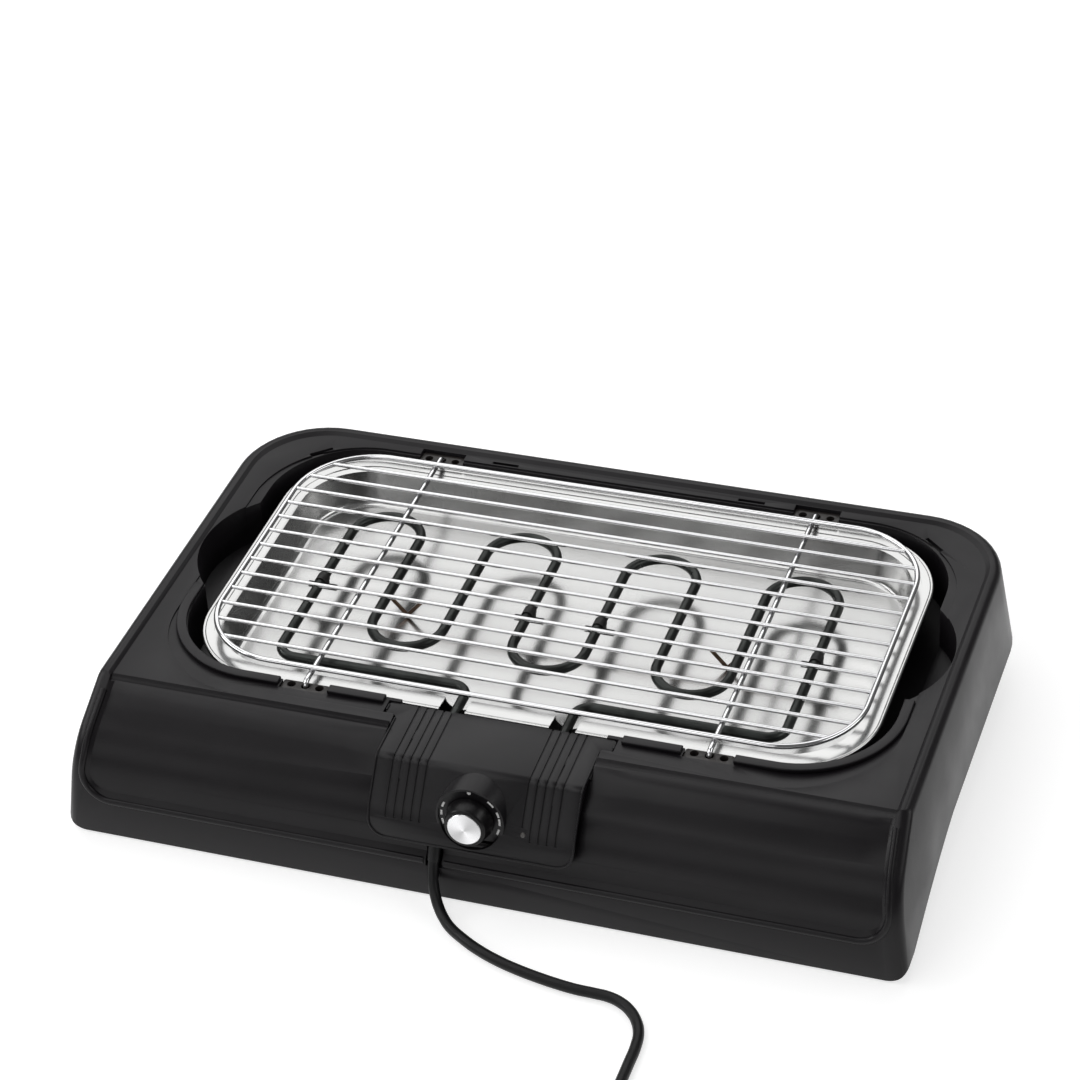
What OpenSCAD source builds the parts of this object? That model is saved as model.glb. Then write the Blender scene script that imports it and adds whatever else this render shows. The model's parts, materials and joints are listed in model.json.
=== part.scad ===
// Electric table barbecue: black moulded housing with a well, metal water tray, serpentine
// tubular heater on a lift-out control unit, and a chrome wire grille.
// X is the width, -Y the front, +Z up. Shapes are drawn about the middle of the well and
// moved back by well_y, so that the part stands with its box centred over the origin.

/* [Housing] */
// Width of the housing over its top rim
housing_w = 517; // [512:1:524]
// From the well's rear edge to the top rear edge
rear_deck = 17.5; // [15:0.5:24]
// From the well's front edge to the crease above the front face
front_deck = 26.8; // [25:0.1:30]
// Height of the rim above the table
housing_h = 90; // [88:0.5:96]
// Outward lean of the side and rear walls from rim to table
side_flare = 11; // [7:0.5:13]
// Corner radius at the rear, seen from above
rear_corner_r = 57; // [50:1:62]
// Corner radius at the front, seen from above
front_corner_r = 6; // [4:0.5:8]
// Thickness of the moulded walls
wall = 2.6; // [2.2:0.1:3]
// Width of the raised rim
rim_w = 8; // [7:0.5:9]
// Radius of the rim's rounded outer edge
rim_round = 4; // [3:0.5:5]
// Drop from the rim to the deck
deck_drop = 1.9; // [1.5:0.1:2.4]
// Height of the side walls' lower edge above the table
side_lift = 27; // [20:1:32]
// Distance over which the lower edge rises behind the front foot
side_rise = 118; // [90:2:140]

/* [Front face] */
// Height of the upright lower part of the front
front_wall_h = 38; // [34:1:42]
// Lean of that part from upright, in degrees
front_draft = 4.8; // [3:0.2:6]
// Radius of the bow between the upright part and the slope
front_bow_r = 43.5; // [40:0.5:48]
// Slope of the upper part above level, in degrees
front_slope = 37; // [36:0.5:39]
// Depth of the sunk panel
panel_drop = 1.2; // [0.8:0.1:1.6]
// Width of the border left at each side of the panel
panel_border = 9; // [8:0.5:11]
// Height of the panel's lower edge
panel_low = 28; // [24:1:30]
// Corner radius of the panel
panel_corner_r = 18; // [12:1:22]
// Width of the slope round the panel
panel_ease = 3.4; // [1.5:0.1:5]
// Radius of the front's lower corners, seen from the front
skirt_r = 14; // [8:1:18]

/* [Well] */
// Width of the well
well_w = 459; // [456:1:462]
// Gap between the tray's rim and the well, at the front and the rear
tray_gap = 2.25; // [1.75:0.05:3]
// Corner radius of the well
well_corner_r = 60; // [54:1:64]
// Depth of the well below the deck
well_deep = 42; // [38:1:44]
// Drop from the deck to the step round the well
step_drop = 1.2; // [0.8:0.1:1.6]
// Width of the step at the sides
step_side = 7; // [5:0.5:9]
// Width of the step at the front
step_front = 22.5; // [20:0.5:24]
// Length of a finger recess along the side
recess_len = 94; // [80:1:104]
// Depth of a finger recess outwards from the well
recess_out = 19.5; // [15:0.5:21]
// Depth of a finger recess downwards from the deck
recess_deep = 30; // [24:1:34]
// Length of a vent slot
slot_len = 18; // [14:1:22]
// Width of a vent slot
slot_w = 2.6; // [2:0.1:3.2]

/* [Grille rests and feet] */
// Distance of the rests from the middle, along the width
rest_x = 129.4; // [126:0.2:132]
// Length of a rest
rest_len = 30; // [28:0.5:32]
// Thickness of a rest
rest_deep = 9.4; // [8.6:0.2:10]
// Height of a rest
rest_h = 18; // [16:0.5:20]
// Distance between the holes in a rest
hole_pitch = 9.25; // [8.6:0.05:9.6]
// Diameter of the holes in a rest
hole_d = 5.4; // [5:0.1:6]
// Depth of a rest's middle hole, for the low grille
hole_deep = 15.5; // [13:0.5:15.5]
// Depth of a rest's outer holes, for the high grille
hole_shallow = 8; // [6:0.5:9]
// Diameter of the peg that holds a rest in the housing
peg_d = 6; // [5:0.5:7]
// Diameter of a rubber foot
foot_d = 16; // [14:1:18]
// Thickness of a rubber foot
foot_t = 3.5; // [3:0.5:4.5]
// How far a rubber foot stands below the housing
foot_stand = 1.5; // [1:0.1:2]

/* [Tray] */
// Width of the tray over its rolled rim
tray_w = 440.8; // [438:0.2:446]
// Depth of the tray over its rolled rim
tray_d = 242.5; // [240:0.5:243]
// Corner radius of the tray's rim
tray_corner_r = 58; // [52:1:60]
// Diameter of the rolled rim
bead_d = 3; // [2.4:0.1:3.4]
// Sheet thickness of the tray
sheet = 0.8; // [0.6:0.1:1]
// Width of the flat flange with its rim
flange_w = 13.4; // [12:0.2:14]
// Width of the outer, higher part of the flange
flange_high_w = 7; // [6:0.5:8]
// Inside depth of the tray
tray_deep = 25; // [23:0.5:26]
// Inward lean of the tray's walls from flange to floor
tray_lean = 5; // [4:0.5:8]
// Width of a notch for the heater's ends
notch_w = 17; // [15:0.5:19]

/* [Heater] */
// Diameter of the heater tube
tube_d = 6.5; // [6:0.1:7]
// Distance between the legs of the serpentine
leg_pitch = 47; // [45:0.5:48]
// Height of the tube's centre above the tray floor
tube_rise = 19; // [17:0.5:20]
// From the middle to the centre of the rear bends
bend_rear = 44.5; // [40:0.5:46]
// From the middle to the centre of the front bends
bend_front = 38.5; // [36:0.5:42]
// From the middle to the front bars
bar_front = 89; // [86:0.5:92]
// Distance of the cold ends from the middle, along the width
cold_x = 35.5; // [34:0.5:38]
// Corner radius of the tube beside the front bars
corner_r = 12; // [10:0.5:14]
// Diameter of the support wire
support_d = 2.6; // [2.2:0.1:3]
// Distance of the support wire's V feet from the middle, along the width
vee_x = 107; // [103:1:109]
// Width of a V foot at the top
vee_w = 22; // [18:1:26]

/* [Control unit] */
// Width of the control unit
unit_w = 130; // [126:1:134]
// Width over the ears at the unit's rear
ear_w = 145; // [142:1:149]
// Height of the unit's lower edge above the table
unit_low = 40.3; // [39:0.1:43]
// How far the unit's lower edge stands out from the front face
unit_proud = 4; // [3.4:0.2:5]
// Slope of the unit's upper front above level, in degrees
unit_slope = 52; // [50:0.5:54]
// Radius of the bow in the unit's front
unit_bow_r = 40; // [36:1:44]
// Radius of the fold between the unit's top and front
fold_r = 8; // [6:0.5:10]
// Slope of the unit's top, in degrees
top_slope = 3.7; // [3:0.1:4.4]
// Wall thickness of the unit
unit_wall = 2.2; // [1.8:0.1:2.6]
// Radius of the unit's lower corners
unit_corner_r = 12; // [9:0.5:14]
// Number of grooves at each side
groove_count = 5; // [3:1:5]
// Distance between grooves
groove_pitch = 5.4; // [5:0.1:5.8]
// Distance of the innermost groove from the middle
groove_inner = 32.2; // [31:0.1:34]
// Width of a groove
groove_w = 1.2; // [0.8:0.1:1.6]
// Depth of a groove
groove_deep = 0.9; // [0.6:0.1:1.2]
// Height at which the grooves end
groove_low = 53.4; // [51:0.2:56]

/* [Dial and knob] */
// Height of the dial's centre above the table
dial_z = 62; // [61:0.2:63]
// How far the dial face stands out from the unit's front at its centre
dial_proud = 2.4; // [2:0.1:3]
// Upward tilt of the dial, in degrees
dial_tilt = 5; // [3:0.5:7]
// Outer radius of the hood round the dial
hood_r = 21.6; // [21:0.1:22]
// Wall thickness of the hood
hood_wall = 1.5; // [1.2:0.1:1.8]
// Height of the hood's edge over the dial face
hood_edge = 1.4; // [1:0.1:1.8]
// Radius of the knob at its foot
knob_r = 15; // [14:0.2:15.6]
// Radius of the knob at its front
knob_front_r = 13; // [12:0.2:13.8]
// Height of the knob
knob_h = 10.7; // [9.5:0.1:12]
// Radius of the metal cap
cap_r = 10.6; // [10:0.1:11]
// Diameter of the thermostat shaft
shaft_d = 6; // [5.6:0.1:6.4]

/* [Grille] */
// Width of the grille between the centres of its side wires
grille_w = 421; // [416:0.5:424]
// Distance between bars
bar_pitch = 16; // [15.4:0.1:16.2]
// Number of bars
bar_count = 13; // [11:2:13]
// Diameter of a bar
bar_d = 2.6; // [2.4:0.1:3]
// Diameter of the frame wire
frame_d = 3.6; // [3.2:0.1:4]
// Diameter of the cross wires and feet
cross_d = 3.6; // [3.2:0.1:3.8]
// Distance from the outer bars to the frame's front and rear wires
frame_gap = 16; // [14:0.5:17]
// Corner radius of the frame wire
frame_corner_r = 52; // [46:1:56]
// Height of the bars' centres above the deck
bar_rise = 3.1; // [2.6:0.1:4]

/* [Mains cord] */
// Diameter of the cord
cord_d = 6.8; // [6.4:0.1:7.2]
// Radius of the plug
plug_r = 18.2; // [17.5:0.1:19]
// Length of the plug body
plug_len = 34; // [30:1:38]
// Distance of the cord's way out from the middle, along the width
cord_out_x = 24; // [20:1:30]

/* [Hidden] */

$fn = 48;
eps = 0.01;
far = 400;
slide_gap = 1;        // clearance round the control unit in the housing
seat_gap = 0.3;       // clearance where one piece lies over another
arc_steps = 8;
joint_full = 1.06;    // a bent wire is a little fuller at its bends

// Well, crease and rear edge follow the tray
well_front = tray_d / 2 + tray_gap;
well_rear = well_front;
crease_reach = well_front + front_deck;
rear_reach = well_rear + rear_deck;

// Levels
deck_z = housing_h - deck_drop;
step_z = deck_z - step_drop;
basin_z = deck_z - well_deep;
tray_rim_z = step_z - 4.4;
shelf_z = tray_rim_z - bead_d - seat_gap;
tray_floor_z = tray_rim_z - 0.4 - tray_deep;
tube_z = tray_floor_z + tube_rise;
bar_z = deck_z + bar_rise;
cross_z = bar_z - bar_d / 2 - cross_d / 2;
rest_top_z = step_z - 1.4;
rest_low_z = rest_top_z - rest_h;

// Front of the housing, as points [y, z]
function bow_point(c, r, heading) = [c.x - r * sin(heading), c.y + r * cos(heading)];
function bow_run(c, r, h1, h2, steps) =
    [for (i = [0:steps]) bow_point(c, r, h1 + (h2 - h1) * i / steps)];
function along(p, heading, z) = [p.x - (p.y - z) / tan(heading), z];

upright = 90 - front_draft;
bow_top_z = front_wall_h + front_bow_r * (cos(front_slope) - cos(upright));
bow_top_y = -crease_reach - (deck_z - bow_top_z) / tan(front_slope);
bow_c = [bow_top_y + front_bow_r * sin(front_slope), bow_top_z - front_bow_r * cos(front_slope)];

function front_profile(t, low, high) =
    let (arc = bow_run(bow_c, front_bow_r - t, upright, front_slope, arc_steps))
    concat([along(arc[0], upright, low)], arc, [along(arc[arc_steps], front_slope, high)]);
function face_y(z) =
    z < front_wall_h ? along(bow_point(bow_c, front_bow_r, upright), upright, z).x
    : z < bow_top_z ? bow_c.x - sqrt(pow(front_bow_r, 2) - pow(z - bow_c.y, 2))
    : along(bow_point(bow_c, front_bow_r, front_slope), front_slope, z).x;

// Front and top of the control unit
unit_rear_y = -well_front - wall - 0.5;
unit_top_z = step_z - 0.7;
unit_arc_low = [face_y(unit_low) - unit_proud, unit_low];
unit_upright = 86;
unit_c1 = [unit_arc_low.x + unit_bow_r * sin(unit_upright),
           unit_arc_low.y - unit_bow_r * cos(unit_upright)];
unit_arc_end = bow_point(unit_c1, unit_bow_r, unit_slope);
fold_s = (unit_top_z + (unit_arc_end.x - unit_rear_y) * tan(top_slope) - unit_arc_end.y)
         / (sin(unit_slope) - cos(unit_slope) * tan(top_slope));
fold_p = unit_arc_end + fold_s * [cos(unit_slope), sin(unit_slope)];
fold_back = fold_r * tan((unit_slope - top_slope) / 2);
fold_c = fold_p + fold_back * [cos(top_slope), sin(top_slope)]
         + fold_r * [sin(top_slope), -cos(top_slope)];
function unit_front(t, low, rear) =
    let (r = unit_bow_r - t,
         foot_z = unit_c1.y + r * cos(unit_upright),
         h = low > foot_z ? acos((low - unit_c1.y) / r) : unit_upright,
         a = bow_run(unit_c1, r, h, unit_slope, arc_steps),
         b = bow_run(fold_c, fold_r - t, unit_slope, top_slope, arc_steps),
         last = b[arc_steps])
    concat(low < foot_z - 0.01 ? [along(a[0], unit_upright, low)] : [], a, b,
           [[rear, last.y + (rear - last.x) * tan(top_slope)]]);

pocket_w = unit_w - 16;
pocket_rear_y = -well_front - 17.5;
pocket_low_z = unit_low + 3.7;
neck_low_z = tube_z - tube_d / 2 - 8;
shell_w = pocket_w - 3 * slide_gap;
shell_rear_y = pocket_rear_y - slide_gap;
shell_low_z = pocket_low_z + 1.5 * slide_gap;
notch_z = tray_rim_z - 3;
lid_gap_z = notch_z + seat_gap;

cord_x = -cord_out_x;
cord_way_z = unit_low - 17.3;
relief_tilt = 26.2;
relief_y = face_y(unit_low) + 5.5;
relief_len = 20;
relief_tip_d = 7.6;
ear_d = 10;
ear_fillet = 3;
cord_way_w = cord_d + 3.6;

// Dial
dial_y = -sqrt(pow(unit_bow_r, 2) - pow(dial_z - unit_c1.y, 2)) + unit_c1.x - dial_proud;
knob_gap = 0.6;
cap_h = 1.6;
cap_proud = 0.8;

// The part's box is centred over the origin
front_end = dial_y - (knob_gap + knob_h + cap_proud) * cos(dial_tilt) - cap_r * sin(dial_tilt);
rear_end = rear_reach + side_flare * (1 - side_lift / housing_h);
well_y = -(front_end + rear_end) / 2;

// ---------------------------------------------------------------- helpers
module from_well() { translate([0, well_y, 0]) children(); }
module along_x(w) { translate([-w / 2, 0, 0]) rotate([90, 0, 90]) linear_extrude(w) children(); }
module along_y(len) { rotate([90, 0, 0]) translate([0, 0, -len / 2]) linear_extrude(len) children(); }
module tube_x(d, len) { rotate([0, 90, 0]) cylinder(d = d, h = len, center = true); }
module tube_y(d, len) { rotate([90, 0, 0]) cylinder(d = d, h = len, center = true); }
module on_dial() {
    translate([0, dial_y, dial_z]) rotate([90 - dial_tilt, 0, 0]) children();
}
module both_sides() { children(); mirror([1, 0, 0]) children(); }
// Rounded rectangle from x -w/2 to w/2 and y low to high
module rounded(w, low, high, r) {
    translate([0, (low + high) / 2]) square([w, high - low - 2 * r], center = true);
    translate([0, (low + high) / 2]) square([w - 2 * r, high - low], center = true);
    for (x = [-1, 1], y = [low + r, high - r]) translate([x * (w / 2 - r), y]) circle(r);
}
module capsule(a, b, d) {
    v = b - a;
    len = norm(v);
    translate(a) rotate([0, acos(v.z / len), atan2(v.y, v.x)]) cylinder(d = d, h = len);
    translate(a) sphere(d = d * joint_full);
    translate(b) sphere(d = d * joint_full);
}

// ---------------------------------------------------------------- housing
function arc2(cx, cy, r, a1, a2, n) =
    [for (i = [0:n]) [cx + r * cos(a1 + (a2 - a1) * i / n), cy + r * sin(a1 + (a2 - a1) * i / n)]];
// Outline of the housing at height z, set in by t
module housing_outline(z, front, t) {
    lean = side_flare * (1 - z / housing_h);
    hx = housing_w / 2 + lean - t;
    hy = rear_reach + lean - t;
    rr = rear_corner_r - t;
    fr = max(front_corner_r - t, 1);
    polygon(concat(
        arc2(hx - fr, front + fr, fr, -90, 0, 4),
        arc2(hx - rr, hy - rr, rr, 0, 90, 12),
        arc2(-hx + rr, hy - rr, rr, 90, 180, 12),
        arc2(-hx + fr, front + fr, fr, 180, 270, 4)));
}
module slab(z) { translate([0, 0, z]) linear_extrude(eps) children(); }
module housing_outer() {
    hull() {
        for (p = front_profile(0, foot_stand, housing_h - rim_round))
            slab(p.y) housing_outline(p.y, p.x, 0);
        for (a = [30:30:90])
            slab(housing_h - rim_round * (1 - sin(a)) - eps)
                housing_outline(housing_h - rim_round * (1 - sin(a)),
                    face_y(housing_h - rim_round * (1 - sin(a))), rim_round * (1 - cos(a)));
    }
}
module housing_cavity() {
    hull() for (p = front_profile(wall, -1, deck_z - step_drop - wall))
        slab(p.y) housing_outline(p.y, p.x, wall);
}
module deck_cut() {
    hull() for (i = [0, 1])
        translate([0, 0, deck_z + i * (deck_drop + 0.2)]) linear_extrude(eps)
            rounded(housing_w - 2 * rim_w + (i - 0.5) * 5, -far / 2,
                rear_reach - rim_w + (i - 0.5) * 2.5, rear_corner_r - rim_w);
}
// Space under the raised lower edge of the side and rear walls
module side_edge_cut() {
    start = face_y(0) + 8;
    sill = 8;
    along_x(2 * far) polygon(concat(
        [[start - 5, -1], [start - 4, 2]],
        [for (i = [0:10]) [start + side_rise * i / 10,
            sill + (side_lift - sill) * (i / 10 + sin(9 * i)) / 2]],
        [[far, side_lift], [far, -1]]));
}
// Sunk panel: its outline lies panel_ease further in at the bottom of the cut than on the face
function face_heading(z) = z < front_wall_h ? upright
    : z < bow_top_z ? acos((z - bow_c.y) / front_bow_r) : front_slope;
function on_face(x, z, t) =
    let (h = face_heading(z)) [x, face_y(z) + t * sin(h), z - t * cos(h)];
// Rows up the panel, each [half width, height], for the outline set in by t
function panel_rows(t) =
    let (r = panel_corner_r - t, half = housing_w / 2 - panel_border - panel_corner_r,
         centre = panel_low + panel_corner_r)
    [for (p = concat([for (a = [0:15:90]) [half + r * sin(a), centre - r * cos(a)]],
        [for (z = [52, 58, 64, bow_top_z, deck_z + 8]) [half + r, z]]))
        p + [side_flare * (1 - p.y / housing_h), 0]];
module front_panel_cut() {
    face = panel_rows(0);
    deep = panel_rows(panel_ease);
    last = len(face) - 1;
    pts = [for (i = [0:last]) each [
        on_face(-face[i].x, face[i].y, -10), on_face(-face[i].x, face[i].y, 0),
        on_face(-deep[i].x, deep[i].y, panel_drop), on_face(deep[i].x, deep[i].y, panel_drop),
        on_face(face[i].x, face[i].y, 0), on_face(face[i].x, face[i].y, -10)]];
    polyhedron(pts, concat(
        [for (i = [0:last - 1], k = [0:5])
            [6 * i + k, 6 * i + (k + 1) % 6, 6 * i + 6 + (k + 1) % 6, 6 * i + 6 + k]],
        [[0, 5, 4, 1], [1, 4, 3, 2]],
        [[for (k = [0:5]) 6 * last + k]]), convexity = 4);
}
module skirt_corner_cut() {
    both_sides() translate([housing_w / 2 + side_flare - skirt_r, face_y(0) + 45 - far / 2, foot_stand])
        difference() {
            translate([0, -far / 2, -1]) cube([skirt_r + 2, far, skirt_r + 1]);
            translate([0, 0, skirt_r]) tube_y(2 * skirt_r, far + 2);
        }
}
module crease_cut() {
    translate([0, -crease_reach - 0.5, deck_z + 5.6])
        tube_x(14, housing_w - 2 * panel_border + 0.4);
}
module well_outline(t) {
    rounded(well_w + 2 * t, -well_front - t, well_rear + t, well_corner_r + t);
}
recess_r = (pow(recess_len / 2, 2) + pow(recess_out, 2)) / (2 * recess_out);
module recess_outline(t) {
    intersection() {
        translate([well_w / 2 + recess_out - recess_r, 0]) circle(recess_r + t, $fn = 96);
        translate([well_w / 2 - 8, -far / 2]) square([far, far]);
    }
}
module housing_rest_spots(grow, low, high) {
    for (x = [-1, 1], y = [rest_front_y, rest_rear_y])
        translate([x * rest_x, y, (low + high) / 2])
            cube([rest_len + 2 * grow, rest_deep + 2 * grow, high - low], center = true);
}
rest_y = tray_d / 2 + seat_gap + rest_deep / 2;
rest_front_y = -rest_y;
rest_rear_y = rest_y;
hole_y = rest_y - 1.2;        // the holes stand a little nearer to the tray
foot_front_x = housing_w / 2 - 27;
foot_front_y = face_y(0) + 17;
foot_rear_x = housing_w / 2 - 71;
foot_rear_y = well_rear - 30;
foot_boss_d = foot_d + 4;
module housing_liners() {
    // wall and floor of the well
    translate([0, 0, basin_z]) linear_extrude(deck_z - basin_z - eps)
        difference() { well_outline(wall); well_outline(0); }
    translate([0, 0, basin_z]) linear_extrude(wall) well_outline(wall);
    // shelves that carry the tray's rim
    intersection() {
        translate([0, 0, shelf_z - wall]) linear_extrude(wall)
            difference() { well_outline(1); rounded(tray_w - 16, -tray_d / 2 + 8, tray_d / 2 - 8, 48); }
        cube([2 * rest_x + rest_len + 8, far, far], center = true);
    }
    // pillars under the grille rests
    housing_rest_spots(2.4, basin_z, rest_low_z);
    for (x = [-1, 1], y = [-rest_y, rest_y]) translate([x * rest_x, y, (rest_low_z + step_z) / 2 - 1])
        cube([rest_len + 5, rest_deep + 5, step_z - rest_low_z], center = true);
    // finger recesses
    both_sides() translate([0, 0, deck_z - recess_deep - wall]) linear_extrude(recess_deep)
        recess_outline(wall);
    // pocket for the control unit
    intersection() {
        translate([0, (pocket_rear_y + wall) / 2 - far / 4, (pocket_low_z - wall + deck_z) / 2 - eps])
            cube([pocket_w + 2 * wall, far / 2 + pocket_rear_y + wall, deck_z - pocket_low_z + wall],
                center = true);
        along_x(2 * far) polygon(concat(front_profile(1, 0, deck_z - 1), [[0, deck_z - 1], [0, 0]]));
    }
    // closed channel behind the cord
    intersection() {
        cord_way(wall, pocket_low_z);
        along_x(2 * far) polygon(concat(front_profile(1, 0, deck_z - 1), [[0, deck_z - 1], [0, 0]]));
    }
    // trough for the unit's neck, and shelf under its ears
    ledge = -well_front - 0.5 - pocket_rear_y;
    translate([-pocket_w / 2 - wall, pocket_rear_y, neck_low_z - 1.2 - wall])
        cube([pocket_w + 2 * wall, ledge, deck_z - neck_low_z]);
    translate([-ear_w / 2 - 4, pocket_rear_y, notch_z - wall])
        cube([ear_w + 8, ledge, deck_z - notch_z]);
    // posts for the feet
    intersection() {
        both_sides() translate([foot_front_x, foot_front_y, foot_stand])
            cylinder(d = foot_boss_d, h = deck_z);
        along_x(2 * far) polygon(concat(front_profile(1, 0, deck_z - 1), [[0, deck_z - 1], [0, 0]]));
    }
    both_sides() translate([foot_rear_x, foot_rear_y, foot_stand])
        cylinder(d1 = foot_boss_d, d2 = foot_boss_d + 10, h = basin_z - foot_stand + eps);
}
module vent_slots() {
    for (x = [-1, 1]) {
        translate([x * 85, well_rear + 3.8, deck_z]) cube([slot_len, slot_w, 9], center = true);
        translate([x * (well_w / 2 - well_corner_r), well_rear - well_corner_r, deck_z])
            rotate([0, 0, x * -41]) translate([0, well_corner_r + slot_w / 2 + 1.5, 0])
                cube([slot_len - 1.5, slot_w, 9], center = true);
    }
}
module unit_notch() {
    // open pocket behind the unit
    translate([0, pocket_rear_y - far / 4, pocket_low_z + far / 4])
        cube([pocket_w, far / 2, far / 2], center = true);
    // neck over the walls of pocket and well
    translate([0, (pocket_rear_y - well_front) / 2 + 6, neck_low_z - 1.2 + far / 4])
        cube([pocket_w, -well_front - pocket_rear_y + 13, far / 2], center = true);
    // seat of the cover and of its ears
    translate([0, -well_front - far / 4 + 2.5, notch_z + far / 4])
        cube([unit_w + 2 * slide_gap, far / 2, far / 2], center = true);
    translate([0, unit_rear_y + 0.5 - (ear_d + 1.5) / 2, notch_z + far / 4])
        cube([ear_w + 2 * slide_gap, ear_d + 1.5, far / 2], center = true);
    // fillets of the ears' seat, about the same centres as the ears' own
    both_sides() translate([unit_w / 2 + slide_gap, unit_rear_y - ear_d - slide_gap, notch_z])
        linear_extrude(far) inner_fillet(ear_fillet - slide_gap);
    cord_way(0, pocket_low_z + 1);
}
// Space for the cord through the housing's front
module cord_way(grow, high) {
    translate([cord_x - cord_way_w / 2 - grow, face_y(unit_low) - 9 - grow, cord_way_z - grow])
        cube([cord_way_w + 2 * grow, 26 + 2 * grow, high - cord_way_z + grow]);
}
// Fills an inner corner at the origin, between walls along +x and -y
module inner_fillet(r) {
    difference() {
        translate([-eps, -r]) square([r + eps, r + eps]);
        translate([r, -r]) circle(r);
    }
}
module base_housing() {
    color("#2b2a2d") from_well() difference() {
        union() {
            difference() { housing_outer(); housing_cavity(); side_edge_cut(); skirt_corner_cut(); }
            housing_liners();
        }
        deck_cut();
        crease_cut();
        front_panel_cut();
        translate([0, 0, step_z]) linear_extrude(far)
            rounded(well_w + 2 * step_side, -well_front - step_front, well_rear + 1.5,
                well_corner_r + 10);
        translate([0, 0, basin_z + wall]) linear_extrude(far)
            difference() { well_outline(0); shelf_zone(); }
        translate([0, 0, shelf_z]) linear_extrude(far) well_outline(0);
        both_sides() translate([0, 0, deck_z - recess_deep]) linear_extrude(far) recess_outline(0);
        housing_rest_spots(seat_gap, rest_low_z, far);
        for (x = [-1, 1], y = [rest_front_y, rest_rear_y])
            translate([x * rest_x, y, rest_low_z - 9]) cylinder(d = peg_d + 0.1, h = 10);
        vent_slots();
        unit_notch();
        for (p = [[foot_front_x, foot_front_y], [foot_rear_x, foot_rear_y]])
            both_sides() translate([p.x, p.y, 0]) cylinder(d = foot_d + 0.4, h = foot_t);
    }
}
// Plan of what stands inside the well below the shelf: shelves and pillars
module shelf_zone() {
    intersection() {
        difference() {
            well_outline(1);
            rounded(tray_w - 16, -tray_d / 2 + 8, tray_d / 2 - 8, 48);
        }
        square([2 * rest_x + rest_len + 8, far], center = true);
    }
}

// ---------------------------------------------------------------- rests and feet
module grille_rest(sx, sy) {
    color("#3a2417") from_well() difference() {
        union() {
            translate([sx * rest_x, sy * rest_y, rest_low_z]) linear_extrude(rest_h)
                rounded(rest_len, -rest_deep / 2, rest_deep / 2, 1.5);
            translate([sx * rest_x, sy * rest_y, rest_low_z - 8]) cylinder(d = peg_d, h = 8 + eps);
        }
        translate([sx * rest_x, sy * hole_y, rest_top_z - hole_deep])
            cylinder(d = hole_d, h = far);
        for (x = [-1, 1])
            translate([sx * rest_x + x * hole_pitch, sy * hole_y, rest_top_z - hole_shallow])
                cylinder(d = hole_d, h = far);
    }
}
module grille_rest_front_left() { grille_rest(-1, -1); }
module grille_rest_front_right() { grille_rest(1, -1); }
module grille_rest_rear_left() { grille_rest(-1, 1); }
module grille_rest_rear_right() { grille_rest(1, 1); }

module rubber_foot(x, y) {
    color("#161616") from_well() translate([x, y, 0]) {
        cylinder(d1 = foot_d - 1.6, d2 = foot_d, h = 0.8);
        translate([0, 0, 0.8]) cylinder(d = foot_d, h = foot_t - 0.8);
    }
}
module rubber_foot_front_left() { rubber_foot(-foot_front_x, foot_front_y); }
module rubber_foot_front_right() { rubber_foot(foot_front_x, foot_front_y); }
module rubber_foot_rear_left() { rubber_foot(-foot_rear_x, foot_rear_y); }
module rubber_foot_rear_right() { rubber_foot(foot_rear_x, foot_rear_y); }

// ---------------------------------------------------------------- tray
// Closed wire along a rounded rectangle, about the origin
module wire_loop(w, d, r, dia) {
    for (y = [-1, 1]) translate([0, y * d / 2, 0]) tube_x(dia, w - 2 * r);
    for (x = [-1, 1]) translate([x * w / 2, 0, 0]) tube_y(dia, d - 2 * r);
    for (a = [0:90:270])
        translate([(a == 0 || a == 270 ? 1 : -1) * (w / 2 - r), (a < 180 ? 1 : -1) * (d / 2 - r), 0])
            rotate([0, 0, a]) rotate_extrude(angle = 90, $fn = 64) translate([r, 0]) circle(d = dia);
}
function tray_points(t) =
    let (hx = tray_w / 2 - tray_corner_r, hy = tray_d / 2 - tray_corner_r, r = tray_corner_r - t)
    concat(arc2(hx, hy, r, 0, 90, 12), arc2(-hx, hy, r, 90, 180, 12),
        arc2(-hx, -hy, r, 180, 270, 12), arc2(hx, -hy, r, 270, 360, 12));
edge_r = 5;
flange_z = tray_rim_z - bead_d / 2;
pan_top = flange_z + sheet / 2 - tray_floor_z;
// Pan from the flange down: distance in from the flange's inner edge, height over the floor
function pan_steps(grow) = concat([[-grow, pan_top]],
    [for (a = [0:15:90]) [tray_lean * (1 - edge_r / tray_deep) + edge_r * (1 - cos(a)) - grow,
        edge_r * (1 - sin(a)) - grow]]);
// Sheet pan as one shell: down its outside, up its inside
module pan_shell() {
    steps = concat(pan_steps(sheet), flip(pan_steps(0)));
    rings = [for (p = steps) [for (q = tray_points(flange_w + p.x)) [q.x, q.y, tray_floor_z + p.y]]];
    n = len(rings[0]);
    half = len(steps) / 2;
    last = len(steps) - 1;
    band = [for (i = [0:last], k = [0:n - 1]) if (i != half - 1)
        let (a = i * n + k, b = i * n + (k + 1) % n, c = ((i + 1) % (last + 1)) * n + (k + 1) % n,
             d = ((i + 1) % (last + 1)) * n + k)
        [a, b, c, d]];
    polyhedron([for (r = rings) each r], concat(band,
        [[for (k = [0:n - 1]) (half - 1) * n + k]], [[for (k = [n - 1:-1:0]) half * n + k]]));
}
module tray_flange(outer, inner, z) {
    translate([0, 0, z]) linear_extrude(sheet) difference() {
        polygon(tray_points(outer));
        polygon(tray_points(inner));
    }
}
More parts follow.
